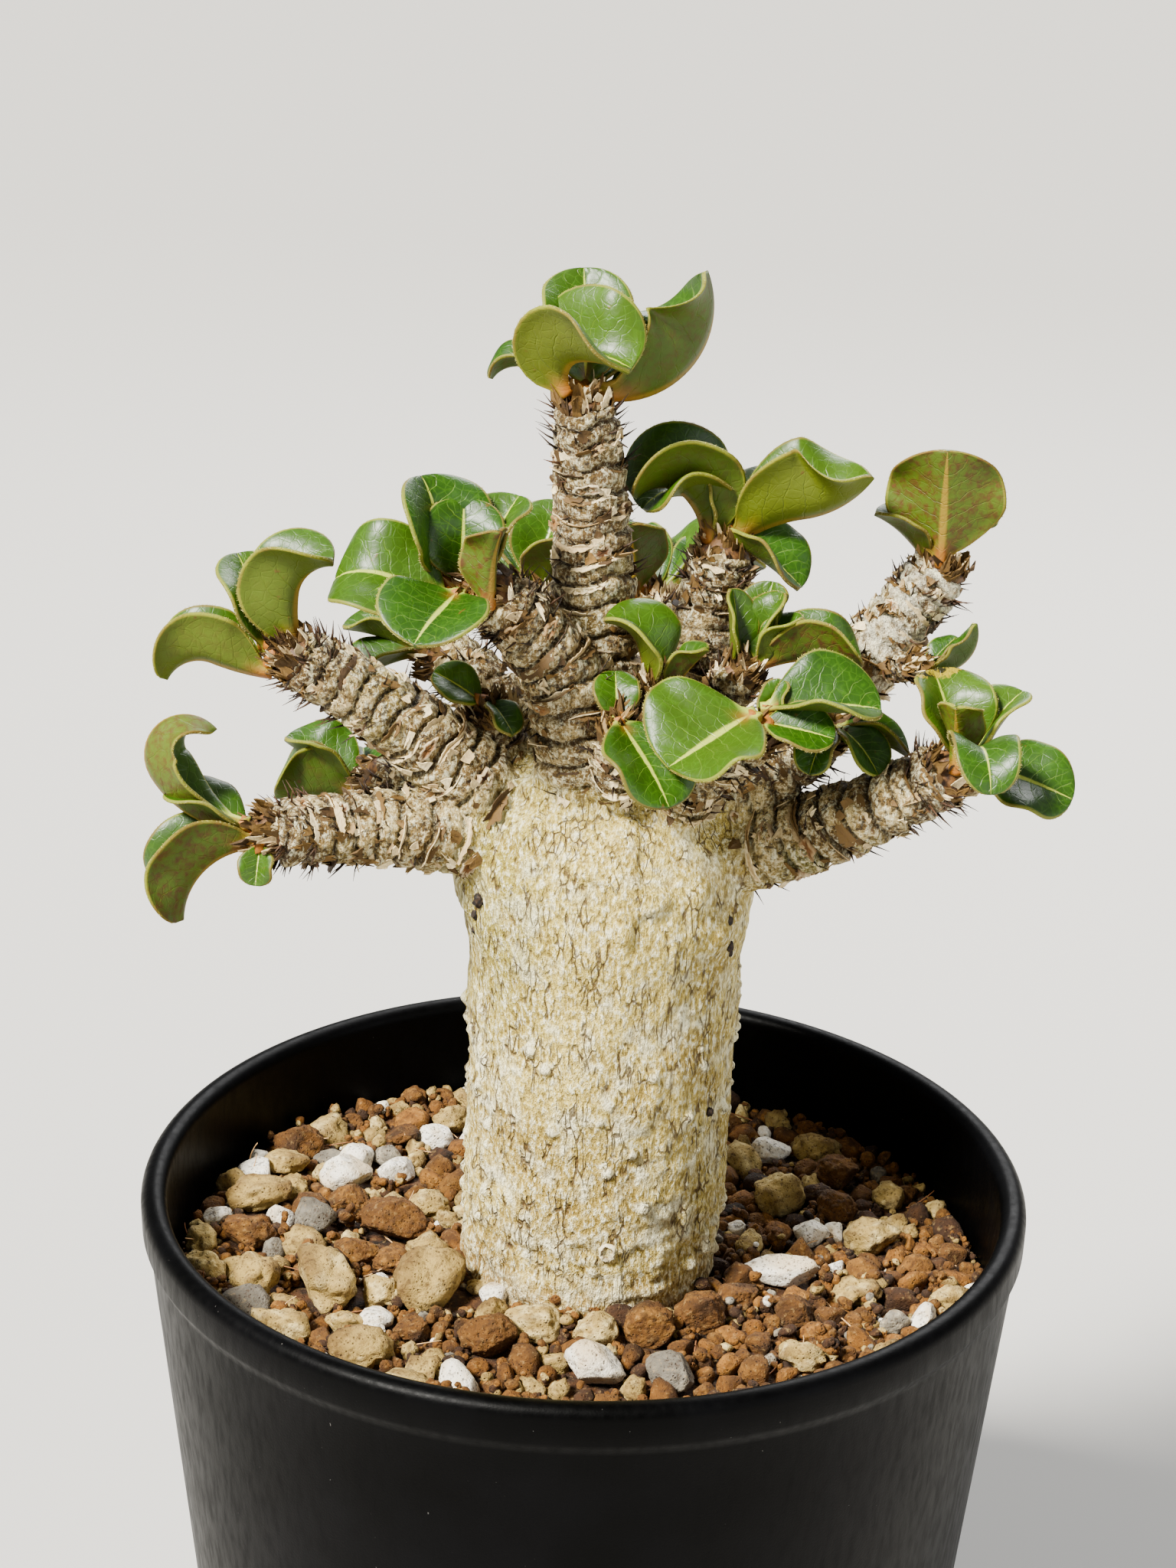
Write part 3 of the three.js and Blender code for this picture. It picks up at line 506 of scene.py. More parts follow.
class Paint:
    """A Principled material and short calls for the nodes that feed it."""

    def __init__(self, name, **values):
        self.material = bpy.data.materials.new(name)
        self.material.use_nodes = True
        self.tree = self.material.node_tree
        self.shader = self.tree.nodes["Principled BSDF"]
        self.set(self.shader, values)

    def feed(self, socket, value):
        if isinstance(value, Flow):
            self.tree.links.new(value.socket, socket)
        elif socket.type == "RGBA":
            socket.default_value = (*value, 1)
        else:
            socket.default_value = value

    def set(self, node, values):
        for key, value in values.items():
            self.feed(node.inputs[key.replace("_", " ") if isinstance(key, str) else key], value)

    def node(self, kind, values, output=0, **settings):
        made = self.tree.nodes.new("ShaderNode" + kind)
        for key, value in settings.items():
            setattr(made, key, value)
        self.set(made, values)
        return Flow(self, made.outputs[output])

    def place(self, stretch=(1, 1, 1)):
        """Object coordinates in millimetres, stretched."""
        where = self.node("TexCoord", {}, "Object")
        return self.node("Mapping", {"Vector": where, "Scale": [s / MM for s in stretch]}, "Vector")

    def noise(self, scale, detail=3, stretch=(1, 1, 1), rough=0.55):
        values = {"Vector": self.place(stretch), "Scale": scale, "Detail": detail, "Roughness": rough}
        return self.node("TexNoise", values, "Fac")

    def cells(self, scale, vector=None, feature="DISTANCE_TO_EDGE"):
        values = {"Vector": vector or self.place(), "Scale": scale}
        return self.node("TexVoronoi", values, "Distance", feature=feature)

    def math(self, how, first, second=0.0, third=0.0):
        return self.node("Math", {0: first, 1: second, 2: third}, operation=how)

    def mix(self, share, first, second):
        made = self.tree.nodes.new("ShaderNodeMix")
        made.data_type = "RGBA"
        sockets = [made.inputs[0], *(s for s in made.inputs if s.type == "RGBA")]
        for socket, value in zip(sockets, (share, first, second)):
            self.feed(socket, value)
        return Flow(self, next(s for s in made.outputs if s.type == "RGBA"))

    def coated(self, colour, *coats):
        """A colour under coats of others, each behind the share that it covers."""
        for share, other in coats:
            colour = self.mix(share, colour, other)
        return colour

    def attribute(self, name):
        return self.node("Attribute", {}, "Vector", attribute_name=name)

    def parts(self, name):
        """The three numbers of an attribute."""
        made = self.tree.nodes.new("ShaderNodeSeparateXYZ")
        self.set(made, {"Vector": self.attribute(name)})
        return [Flow(self, output) for output in made.outputs]

    def finished(self, colour, rough, relief, deep, strength, **values):
        """Joins colour, roughness and relief, deep in millimetres, to the shader; gives the material."""
        bump = self.node("Bump", {"Height": relief, "Distance": deep * MM, "Strength": strength}, "Normal")
        self.set(self.shader, {"Base_Color": colour, "Roughness": rough, "Normal": bump, **values})
        return self.material


def srgb(*parts):
    """A screen colour, 0 to 255, as linear light."""
    share = np.array(parts, float) / 255
    return tuple(np.where(share <= 0.04045, share / 12.92, ((share + 0.055) / 1.055) ** 2.4).tolist())


def dry_paint(name, rough):
    """Dead dry skin in the colours of its points."""
    paint = Paint(name, Specular_IOR_Level=0.3)
    grain = paint.noise(3.2, 3, (1, 1, 0.5))
    colour = paint.mix(grain.ramp(0.6, 0.35) * 0.35, paint.attribute("tint"), srgb(84, 60, 38))
    return paint.finished(colour, rough, grain, 0.15, 0.6)


# ---------------------------------------------------------------- pot
def pot_profile():
    """Radius and height of the pot's section, from the middle of its underside round to its floor."""
    shoulder = POT_HEIGHT - RIM_HEIGHT
    lip = RIM_RADIUS - LIP_RADIUS
    inner = RIM_RADIUS - 2 * LIP_RADIUS
    corner = BASE_RADIUS - POT_WALL
    steps = np.linspace(0, 1, 14)[1:]
    rows = [(0, 0), (BASE_RADIUS - 6, 0), (BASE_RADIUS - 1.2, 0), (BASE_RADIUS - 0.4, 0.3), (BASE_RADIUS, 1)]
    rows += [(BASE_RADIUS + (RIM_RADIUS - 1 - BASE_RADIUS) * share, 1 + (shoulder - 3) * share)
             for share in steps]
    rows += [(RIM_RADIUS - 0.9, shoulder - 1.5), (RIM_RADIUS - 0.4, shoulder - 0.7)]
    rows += [(RIM_RADIUS - 0.1, shoulder)]
    rows += [(lip + LIP_RADIUS * math.cos(turn), POT_HEIGHT - LIP_RADIUS + LIP_RADIUS * math.sin(turn))
             for turn in np.radians(np.linspace(0, 180, 15))]
    rows += [(inner, POT_HEIGHT - 3), (inner, shoulder - 1)]
    rows += [(inner + (corner - inner) * share, shoulder - 1 + (POT_FLOOR - shoulder + 1) * share)
             for share in steps]
    return np.array(rows + [(0, POT_FLOOR)])


def pot_paint():
    """Black plastic with a dull bloom and dust, and dried dirt on its inside above the mix."""
    paint = Paint("black_pot_plastic", Specular_IOR_Level=0.045)
    rub = paint.noise(0.9, 4, (1, 1, 0.25))
    dust = paint.noise(1.5, 2).ramp(0.77, 0.80)
    haze = paint.noise(0.05, 3).ramp(0.35, 0.75)
    dirt = paint.parts("tint")[0] * paint.noise(0.55, 4, (1, 1, 0.12)).ramp(0.42, 0.72)
    colour = paint.coated(
        paint.mix(haze, srgb(1, 1, 1), srgb(4, 4, 5)),
        (dust * 0.4, srgb(110, 108, 104)),
        (dirt * 0.45, srgb(58, 38, 22)))
    rough = rub.ramp(0.3, 0.8, 0.36, 0.52) + dirt * 0.3
    return paint.finished(colour, rough, paint.noise(3.5, 2), 0.05, 0.35)


def build_pot():
    points, faces = lathe(pot_profile(), 224)
    wall = np.hypot(points[:, 0], points[:, 1])
    inner = (wall < RIM_RADIUS - 3.2) & (points[:, 2] > SOIL_TOP - 12)
    dirt = inner * smooth_step(POT_HEIGHT - 3, SOIL_TOP + 1, points[:, 2])
    tint = np.column_stack([dirt, dirt, dirt])
    piece = make("pot_moulded", points, faces, pot_paint(), "pot_plastic", {"tint": tint})
    drill, sides = lathe([(0, -4), (DRAIN_RADIUS, -4), (DRAIN_RADIUS, 6), (0, 6)], 40)
    holes = Heap()
    for turn in np.radians(np.arange(DRAIN_HOLES) * 360 / DRAIN_HOLES):
        holes.add(drill + (DRAIN_CIRCLE * math.cos(turn), DRAIN_CIRCLE * math.sin(turn), 0), sides)
    cutter = holes.made("drain_cutter", piece.active_material, None)
    cut = piece.modifiers.new("drains", "BOOLEAN")
    cut.operation = "DIFFERENCE"
    cut.object = cutter
    cut.solver = "EXACT"
    keep_modified(piece)
    bpy.data.objects.remove(cutter)
    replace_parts(piece, "pot")


# ---------------------------------------------------------------- bark: trunk and branches, one grown piece
VOXEL = 0.45
RING_PITCH = 3.7
TRUNK_FOOT = 84
TRUNK_STEP = 1.5
TRUNK_SHOULDER = 168
WARTS_BELOW = 152
CROWN_LOW, CROWN_HIGH = 147, 171

BARK = srgb(214, 190, 98)
# pale tone of the bark's flecks, patches and warts, also painted as a highlight on the trunk's raised
# wrinkles
BARK_PALE_AND_HIGHLIGHT = srgb(255, 250, 208)
# ochre patches of the bark, also painted as shade in the trunk's furrows
BARK_OCHRE_AND_SHADE = srgb(154, 126, 42)
BARK_GREEN = srgb(150, 146, 46)
BRANCH = srgb(134, 104, 50)
# pale branch skin, also painted as a highlight on the raised bark
BRANCH_PALE_AND_HIGHLIGHT = srgb(226, 200, 132)
# brown of the branch tips, also painted as shade in hollows and in the crotch
BRANCH_BROWN_AND_SHADE = srgb(72, 44, 20)
BLEACHED = srgb(255, 252, 226)
# near black, painted as shade in the creases at the rings' ledges
PAINTED_CREASE_SHADE = srgb(30, 18, 9)
MOSS = srgb(112, 118, 22)
SOIL_STAIN = srgb(136, 92, 50)


def grown_shape():
    """The trunk and all the branches run together into one skin of even small faces."""
    heap = Heap()
    rings = []
    for height in np.arange(TRUNK_FOOT, TRUNK[-1][0] + 0.1, TRUNK_STEP):
        x, wide, deep = trunk_at(height)
        rings.append(ring(np.array([x, 0, height]), (1, 0, 0), (0, 1, 0), wide, deep, 64))
    heap.add(*lofted(rings))
    for line in LINES.values():
        # each branch starts a little further inside the trunk than its line
        centres = np.vstack([line.points[0] - line.along[0] * 2, line.points])
        others = [np.concatenate([rows[:1], rows]) for rows in (line.side, line.other, line.radius)]
        rings = [ring(centre, side, other, r, r, 28) for centre, side, other, r in zip(centres, *others)]
        heap.add(*lofted(rings))
    draft = heap.made("grown", bpy.data.materials.new("draft"), None)
    change = draft.modifiers.new("skin", "REMESH")
    change.mode = "VOXEL"
    change.voxel_size = VOXEL * MM
    keep_modified(draft)
    mesh = draft.data
    points = np.zeros(len(mesh.vertices) * 3, np.float32)
    mesh.vertices.foreach_get("co", points)
    corners = np.zeros(len(mesh.loops), np.int32)
    mesh.loops.foreach_get("vertex_index", corners)
    bpy.data.objects.remove(draft)
    return points.reshape(-1, 3).astype(float) / MM, corners.reshape(-1, 4)


def relaxed(points, faces, weight, passes):
    """Points drawn towards their neighbours' middle, each by its own weight."""
    edges = np.vstack([faces[:, [k, (k + 1) % 4]] for k in range(4)])
    count = np.maximum(np.bincount(edges[:, 0], minlength=len(points)), 1)
    for _ in range(passes):
        sums = [np.bincount(edges[:, 0], points[edges[:, 1], k], len(points)) for k in range(3)]
        points = points + (np.stack(sums, 1) / count[:, None] - points) * weight[:, None]
    return points


def owners(points):
    """For each point: how far it is outside the trunk, and outside its nearest branch, with that branch's
    number, the distance along it, the angle round it, its radius and its length."""
    x, wide, deep = trunk_at(points[:, 2])
    from_trunk = (np.hypot((points[:, 0] - x) / wide, points[:, 1] / deep) - 1) * wide
    from_trunk += np.maximum(points[:, 2] - TRUNK_SHOULDER, 0)
    best = np.full(len(points), 1e9)
    number, sample = np.zeros(len(points), int), np.zeros(len(points), int)
    for k, line in enumerate(LINES.values()):
        far = np.sqrt(np.maximum((points**2).sum(1)[:, None] + (line.points**2).sum(1)[None]
                                 - 2 * points @ line.points.T, 0)) - line.radius[None]
        nearest = far.argmin(1)
        away = far[np.arange(len(points)), nearest]
        closer = away < best
        best[closer], number[closer], sample[closer] = away[closer], k, nearest[closer]
    reach, around, radius, length = (np.zeros(len(points)) for _ in range(4))
    for k, line in enumerate(LINES.values()):
        mine = number == k
        spot = sample[mine]
        offset = points[mine] - line.points[spot]
        reach[mine] = line.reach[spot] + (offset * line.along[spot]).sum(1)
        around[mine] = np.arctan2((offset * line.other[spot]).sum(1), (offset * line.side[spot]).sum(1))
        radius[mine], length[mine] = line.radius[spot], line.length
    return from_trunk, best, number, reach, around, radius, length


def ring_pitch(radius):
    """The length of one ring on a branch of a radius."""
    return RING_PITCH * (0.55 + 0.09 * radius)


def ring_phase(reach, around, radius, number, points):
    """How many rings lie between a branch's foot and each point on its skin."""
    turns = np.column_stack([np.cos(around) * 1.3, np.sin(around) * 1.3, number * 7.3 + 0 * around])
    slant = 0.16 * np.cos(around - number * 2.4 - reach * 0.35)
    return reach / ring_pitch(radius) + slant + 0.3 * layered(turns, 21, 2) + 0.18 * layered(points / 6, 5, 2)


def wart_cover(points):
    """Small pale pimples, nearly all on the trunk's two sides below its middle."""
    random = np.random.default_rng(31)
    cover = np.zeros(len(points))
    near = points[:, 2] < WARTS_BELOW
    mine = points[near]
    found = cover[near]
    for _ in range(150):
        height = random.uniform(97, 146) if random.random() < 0.3 else random.uniform(99, 134)
        around = random.choice([0, math.pi]) + random.normal() * 0.45
        if random.random() < 0.25:
            around = random.uniform(0, 2 * math.pi)
        x, wide, deep = trunk_at(height)
        spot = np.array([x + wide * math.cos(around), deep * math.sin(around), height])
        reach = random.uniform(0.5, 1.15)
        away = np.linalg.norm(mine - spot, axis=1) / reach
        found = np.maximum(found, 0.75 * reach * np.maximum(0, 1 - away**2))
    cover[near] = found
    return cover


def bark_paint():
    """Pale bark: cracks and flecks on the trunk; on the branches, painted shade in the low crevices of the
    relief and near white scurf.
    """
    paint = Paint("pale_bark", Specular_IOR_Level=0.35)
    cracked, limb, flecked = paint.parts("marks")
    wander = paint.node("TexNoise", {"Vector": paint.place(), "Scale": 0.35, "Detail": 2}, "Color")
    bent = paint.node("VectorMath", {0: paint.place((1.1, 1.1, 0.24)), 1: wander}, "Vector", operation="ADD")
    gate = paint.noise(0.5, 3, (1, 1, 0.4)).ramp(0.46, 0.60)
    crack = paint.cells(1.0, bent).ramp(0.02, 0.10, 1, 0) * gate * cracked
    speckle = paint.noise(1.5, 4, (1, 1, 0.55), 0.65)
    fine = paint.noise(2.6, 3, (1, 1, 0.4), 0.7)
    rift = paint.noise(1.0, 5, (1, 1, 1.5), 0.75)
    colour = paint.coated(
        paint.attribute("tint"),
        (speckle.ramp(0.52, 0.62) * flecked, BARK_PALE_AND_HIGHLIGHT),
        (speckle.ramp(0.49, 0.38) * 0.5, srgb(112, 88, 30)),
        (fine.ramp(0.53, 0.62) * 0.35, BARK_PALE_AND_HIGHLIGHT),
        (fine.ramp(0.48, 0.38) * 0.58, srgb(88, 66, 20)),
        # painted shade in the low crevices of the branches' bumped relief
        (rift.ramp(0.48, 0.40) * limb * 0.85, srgb(38, 23, 11)),
        (rift.ramp(0.54, 0.62) * (limb * flecked), srgb(246, 228, 176)),
        (crack * 0.85, srgb(70, 44, 16)))
    relief = speckle * 1.2 + fine * 0.8 + rift * (limb * 1.5) - crack * 0.6
    return paint.finished(colour, speckle.ramp(0.3, 0.7, 0.85, 0.6), relief, 0.8, 0.9)


def build_bark():
    points, faces = grown_shape()
    crown = smooth_step(CROWN_LOW, CROWN_LOW + 6, points[:, 2])
    crown = crown * smooth_step(CROWN_HIGH + 8, CROWN_HIGH, points[:, 2])
    near = smooth_step(30, 20, np.hypot(points[:, 0] - 1, points[:, 1]))
    points = relaxed(points, faces, 0.15 + 0.75 * crown * near, 7)
    from_trunk, from_branch, number, reach, around, radius, length = owners(points)
    branchy = smooth_step(-1.5, 2.5, from_trunk - from_branch) * smooth_step(145, 152, points[:, 2])

    grown = branchy * (0.2 + 0.8 * smooth_step(0.5, 7, from_trunk))
    phase = ring_phase(reach, around, radius, number, points)
    part = phase - np.floor(phase)
    # each ring swells slowly towards the tip and ends in a ledge
    band = smooth_step(0, 0.16, part) * smooth_step(1.0, 0.74, part)
    swell = (band * (0.55 + 0.45 * part) - 0.5) * (0.3 + 0.17 * radius)
    lumps = layered(points / 2.6, 31, 2)
    rough = layered(points / 0.95, 41, 2)
    branch_relief = swell + 0.34 * lumps + 0.24 * rough

    flat = points.copy()
    flat[:, 2] *= 0.35
    furrows = layered(flat / 1.5, 51, 3)
    rumpled = layered(points / np.array([3.5, 3.5, 1.4]), 61, 3) * smooth_step(128, 100, points[:, 2])
    grain = layered(points / np.array([0.9, 0.9, 1.5]), 67, 2)
    trunk_relief = 0.5 * layered(points / 9, 71, 2) + 0.3 * furrows + 0.62 * rumpled + 0.13 * grain
    trunk_relief += 0.7 * smooth_step(104, 96, points[:, 2]) * layered(points / 5, 81, 2)
    knots = smooth_step(0.55, 0.8, value_noise(points / 4.2, 91)) * smooth_step(144, 150, points[:, 2])
    trunk_relief += 0.8 * knots
    warts = wart_cover(points)
    trunk_relief += warts * (1 - branchy)
    relief = trunk_relief + (branch_relief - trunk_relief) * grown
    points = points + normals_of(points, faces) * relief[:, None]

    large = layered(points / 11, 101, 3)
    small = layered(points / 2.4, 111, 3)
    left = smooth_step(2, -14, points[:, 0]) * smooth_step(118, 140, points[:, 2])
    high = smooth_step(128, 150, points[:, 2])
    # the height of the trunk's wrinkles, which the colour below follows as painted shade and highlight
    coarse = rumpled + 0.3 * grain
    wet = smooth_step(103, 95, points[:, 2] + 3 * small)
    tipward = smooth_step(11, 2, length - reach)
    # painted shade in the crotch where the branches leave the top of the trunk
    painted_crotch_shade = smooth_step(158, 172, points[:, 2]) * smooth_step(22, 8, np.hypot(points[:, 0], points[:, 1]))
    # one branch, the upper right one, is bleached nearly white
    bleached = smooth_step(0, 6, from_trunk) * (number == list(LINES).index("right_upper"))
    limb = coated(
        BRANCH,
        # paler on the raised lumps and roughness: partly the skin's own pale tone, partly a painted highlight
        (BRANCH_PALE_AND_HIGHLIGHT, smooth_step(-0.1, 0.7, lumps + 0.4 * small)),
        (BARK_GREEN, 0.4 * smooth_step(0.1, 0.6, layered(points / 7, 121, 2))),
        (BRANCH_PALE_AND_HIGHLIGHT, 0.55 * smooth_step(0.1, 0.6, rough)),
        # painted shade: darker brown in the hollows between the lumps and roughness
        (BRANCH_BROWN_AND_SHADE, 0.65 * smooth_step(-0.05, -0.6, rough + 0.4 * lumps)),
        # painted shade: near black in the sunken crease at each ring's ledge
        (PAINTED_CREASE_SHADE, 0.9 * smooth_step(0.6, 0.1, band)),
        (BRANCH_BROWN_AND_SHADE, 0.8 * tipward * smooth_step(-0.6, 0.4, small)),
        # painted shade in the crotch between the branches
        (BRANCH_BROWN_AND_SHADE, 0.4 * painted_crotch_shade),
        (BLEACHED, 0.6 * bleached * smooth_step(-0.5, 0.2, rough + 0.5 * lumps)))
    # the patch of moss is in the fork under the right branches
    moss = smooth_step(5.5, 1, np.linalg.norm(points - np.array([27, -12, 158]), axis=1) + 1.5 * small)
    colour = coated(
        BARK,
        (BARK_PALE_AND_HIGHLIGHT, smooth_step(0.0, 0.7, small + 0.3 * large)),
        (BARK_OCHRE_AND_SHADE, 0.7 * smooth_step(0.0, 0.5, large - 0.2 * small)),
        (BARK_GREEN, 0.45 * left * smooth_step(-0.4, 0.5, large) + 0.15 * high),
        # painted shade in the hollows of the furrows and wrinkles, painted highlight on the wrinkles' crests
        (BARK_OCHRE_AND_SHADE, 0.45 * smooth_step(0.05, -0.55, furrows + 0.5 * grain + rumpled)),
        (srgb(112, 80, 34), 0.7 * smooth_step(-0.35, -0.8, coarse)),
        (BARK_PALE_AND_HIGHLIGHT, 0.7 * smooth_step(0.15, 0.6, coarse)),
        (BARK_PALE_AND_HIGHLIGHT, 0.8 * smooth_step(0.1, 0.5, warts)),
        (SOIL_STAIN, 0.6 * wet),
        (limb, grown),
        (MOSS, 0.6 * moss))
    flecked = 0.75 * (1 - grown) + 0.8 * grown * band
    marks = np.column_stack([(1 - grown) * (1 - 0.5 * wet), grown * (1 - 0.35 * bleached), flecked])
    piece = make("bark_skin", points, [faces], bark_paint(), "bark", {"tint": colour, "marks": marks})
    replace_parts(piece, "caudex")


# ---------------------------------------------------------------- dry bits on the branches
GOLDEN_TURN = math.radians(137.5)
SCAR_SIDES = 18
CHIP_ROWS = 4
BUD_SHARES = (-0.35, 0.1, 0.4, 0.7, 1.0, 1.25)
BUD_WIDTHS = (0.9, 0.88, 0.74, 0.56, 0.4, 0.16)
# black specks on the trunk: x, height, size
SPECKS = ((-14.5, 152, 1.1), (-15.0, 149.5, 0.8), (-15.1, 146.8, 0.6), (17.6, 150.5, 0.8),
          (17.8, 146.5, 0.9), (18.0, 145.2, 0.6), (16.3, 122.5, 0.65))
# the lost root's rings: radius, height off the trunk, colour
ROOT_RINGS = ((0.05, -0.1, srgb(60, 34, 14)), (0.55, 0.05, srgb(112, 74, 32)),
              (0.95, 0.75, srgb(252, 240, 196)), (1.5, -0.6, srgb(204, 172, 104)))


def scar_places(random):
    """Where each fallen leaf left its scar: line, distance along it, and angle round it."""
    for line in LINES.values():
        step = ring_pitch(line.radius.mean()) / 2.3
        turn = random.random() * 6
        for k in range(int((line.length - 1) / step)):
            reach = (k + 0.7) * step
            turn += GOLDEN_TURN
            if reach > 0.22 * line.length:
                yield line, reach, turn + 0.2 * random.normal()


def exposed(point, own):
    """Whether a point on one branch's skin is clear of the trunk and of the other branches."""
    x, wide, deep = trunk_at(point[2])
    away = np.hypot((point[0] - x) / (wide + 0.5), point[1] / (deep + 0.5))
    if away <= 1 and point[2] <= TRUNK_SHOULDER - 2:
        return False
    others = (line for line in LINES.values() if line is not own)
    return all((np.linalg.norm(line.points - point, axis=1) - line.radius).min() >= 0.3 for line in others)


def husk_colour(random, browns):
    """Dry skin is either near white to tan, or brown."""
    pale = random.random() ** 0.7
    if random.random() < browns:
        return blend(srgb(36, 22, 8), srgb(100, 74, 28), [pale])
    return blend(srgb(136, 102, 48), srgb(242, 222, 172), [pale])


def bud_frame(name, at):
    """A branch's tip and radius, the way and the distance from it to its leaves, and two ways across."""
    line = LINES[name]
    tip = line.points[-1]
    way = unit(at - tip)
    side = unit(np.cross(way, (0.2, 1, 0.3)))
    return tip, line.radius[-1], way, np.linalg.norm(at - tip), side, np.cross(way, side)


def bud_spots(random, name, at, count):
    """Places on the round end of a shoot: point, way to the leaves, way out."""
    tip, radius, way, far, side, other = bud_frame(name, at)
    for _ in range(count):
        share, turn = random.uniform(-0.35, 1.15), random.uniform(0, 2 * math.pi)
        outward = math.cos(turn) * side + math.sin(turn) * other
        wide = radius * np.interp(share, BUD_SHARES, BUD_WIDTHS)
        yield tip + way * far * share + outward * wide * 0.96, way, outward


def build_scars(random, places):
    """A sunken oval with a pale rim where each of many leaves stood."""
    heap = Heap()
    turn = circle(SCAR_SIDES)
    out = np.array([0, 0.45, 0.8, 1.0])
    high = np.array([0.0, 0.02, 0.3, -0.7])[:, None]
    faces = grid_faces(len(out), SCAR_SIDES, closed=True)
    for line, reach, around in places:
        radius = float(line.radius_at(reach))
        if random.random() < 0.45:
            continue
        wide, tall = radius * random.uniform(0.26, 0.42), radius * random.uniform(0.16, 0.24)
        rough = 1 + 0.2 * random.normal(size=SCAR_SIDES)
        u = np.outer(out, np.cos(turn) * rough) * wide
        v = np.outer(out, np.sin(turn) * rough) * tall + reach
        rise = radius * 1.035 + high + 0.12 * random.normal(size=(len(out), SCAR_SIDES))
        top = line.at(v.ravel(), around + u.ravel() / radius, rise.ravel())
        tint = blend(srgb(66, 36, 14), srgb(132, 88, 40), np.full(len(out), random.uniform(0, 1)))
        tint[2] = blend(srgb(150, 116, 66), srgb(232, 214, 172), [random.random()])[0]
        tint[3] = srgb(110, 78, 42)
        heap.add(top, [faces], tint=np.repeat(tint, SCAR_SIDES, axis=0))
    return heap


def build_bristles(random, places):
    """Stiff dark points beside the scars, thickest at the tips, each a bent three-sided needle."""
    heap = Heap()
    spots = []
    for line, reach, around in places:
        share = reach / line.length
        for _ in range(random.poisson(0.8 + 3.6 * share)):
            up = random.uniform(-1, 1)
            spots.append((line, reach + up, around + random.choice([-1, 1]) * random.uniform(0.4, 0.8)))
    for line in LINES.values():
        for _ in range(int(14 * line.radius[-1])):
            down = random.uniform(0, 4.5) ** 1.1
            spots.append((line, line.length - down, random.uniform(0, 2 * math.pi)))
    for line, reach, around in spots:
        skin, along, outward = line.skin(min(reach, line.length - 0.1), around, 0.96, 1.0)
        if not exposed(skin, line):
            continue
        aside = np.cross(along, outward)
        way = unit(outward + along * random.uniform(0.0, 1.1) + aside * 0.35 * random.normal())
        length = random.uniform(1.1, 3.2)
        thick = random.uniform(0.15, 0.27)
        bend = along * random.uniform(-0.25, 0.5) + aside * 0.2 * random.normal()
        shares = (0, 0.45, 1)
        centres = [skin + way * length * share + bend * length * share**2 * 0.5 for share in shares]
        radii = [thick * (1 - 0.86 * share) for share in shares]
        points, faces = tube(centres, radii, aside, np.cross(way, aside), 3)
        shade = random.uniform(0, 1) ** 2.5
        heap.add(points, faces, tint=blend(srgb(20, 14, 10), srgb(80, 52, 32), [shade]))
    return heap


def chip(skin, along, outward, size, lift, random):
    """A thin ragged flake with its foot on the skin and its free edge standing off."""
    v, u = np.meshgrid(np.linspace(0, 1, CHIP_ROWS), np.linspace(-1, 1, CHIP_ROWS), indexing="ij")
    ragged = 1 + 0.35 * random.normal(size=(1, CHIP_ROWS)) * v
    length, width = size
    aside = np.cross(outward, along)
    high = lift * v**1.6 * length + 0.12 * u**2 * width * random.uniform(-1, 1)
    middle = (skin + outward * 0.05 + (v * ragged * length)[..., None] * along
              + (u * width / 2 * (1 - 0.35 * v**2))[..., None] * aside + high[..., None] * outward)
    return sheet(middle.reshape(-1, 3), outward * 0.07, CHIP_ROWS, CHIP_ROWS)


def build_flakes(random, places):
    """Papery skin that lifts at the rings and scars, and thickest near the tips."""
    heap = Heap()
    for line, reach, around in places:
        share = reach / line.length
        for _ in range(random.poisson(3.0 + 4.0 * share)):
            far = np.clip(reach + random.normal() * 1.5, 0.2 * line.length, line.length - 0.2)
            turn = around + random.normal() * 1.1
            skin, ahead, outward = line.skin(far, turn, random.uniform(0.98, 1.04), 2.0)
            if not exposed(skin, line):
                continue
            spin = random.normal() * 0.6 + (math.pi if random.random() < 0.35 else 0)
            along = unit(turned(ahead, outward, spin))
            size = (random.uniform(0.5, 1.5), random.uniform(0.6, 2.0))
            points, faces = chip(skin, along, outward, size, random.uniform(0.05, 0.55), random)
            heap.add(points, faces, tint=husk_colour(random, 0.22 + 0.4 * share))
    for name, (at, _) in ROSETTES.items():
        for skin, ahead, outward in bud_spots(random, name, at, 70):
            along = unit(turned(ahead, outward, 0.5 * random.normal()))
            size = (random.uniform(0.9, 2.2), random.uniform(0.7, 1.8))
            points, faces = chip(skin, along, outward, size, random.uniform(0.1, 0.6), random)
            heap.add(points, faces, tint=husk_colour(random, 0.75))
    return heap


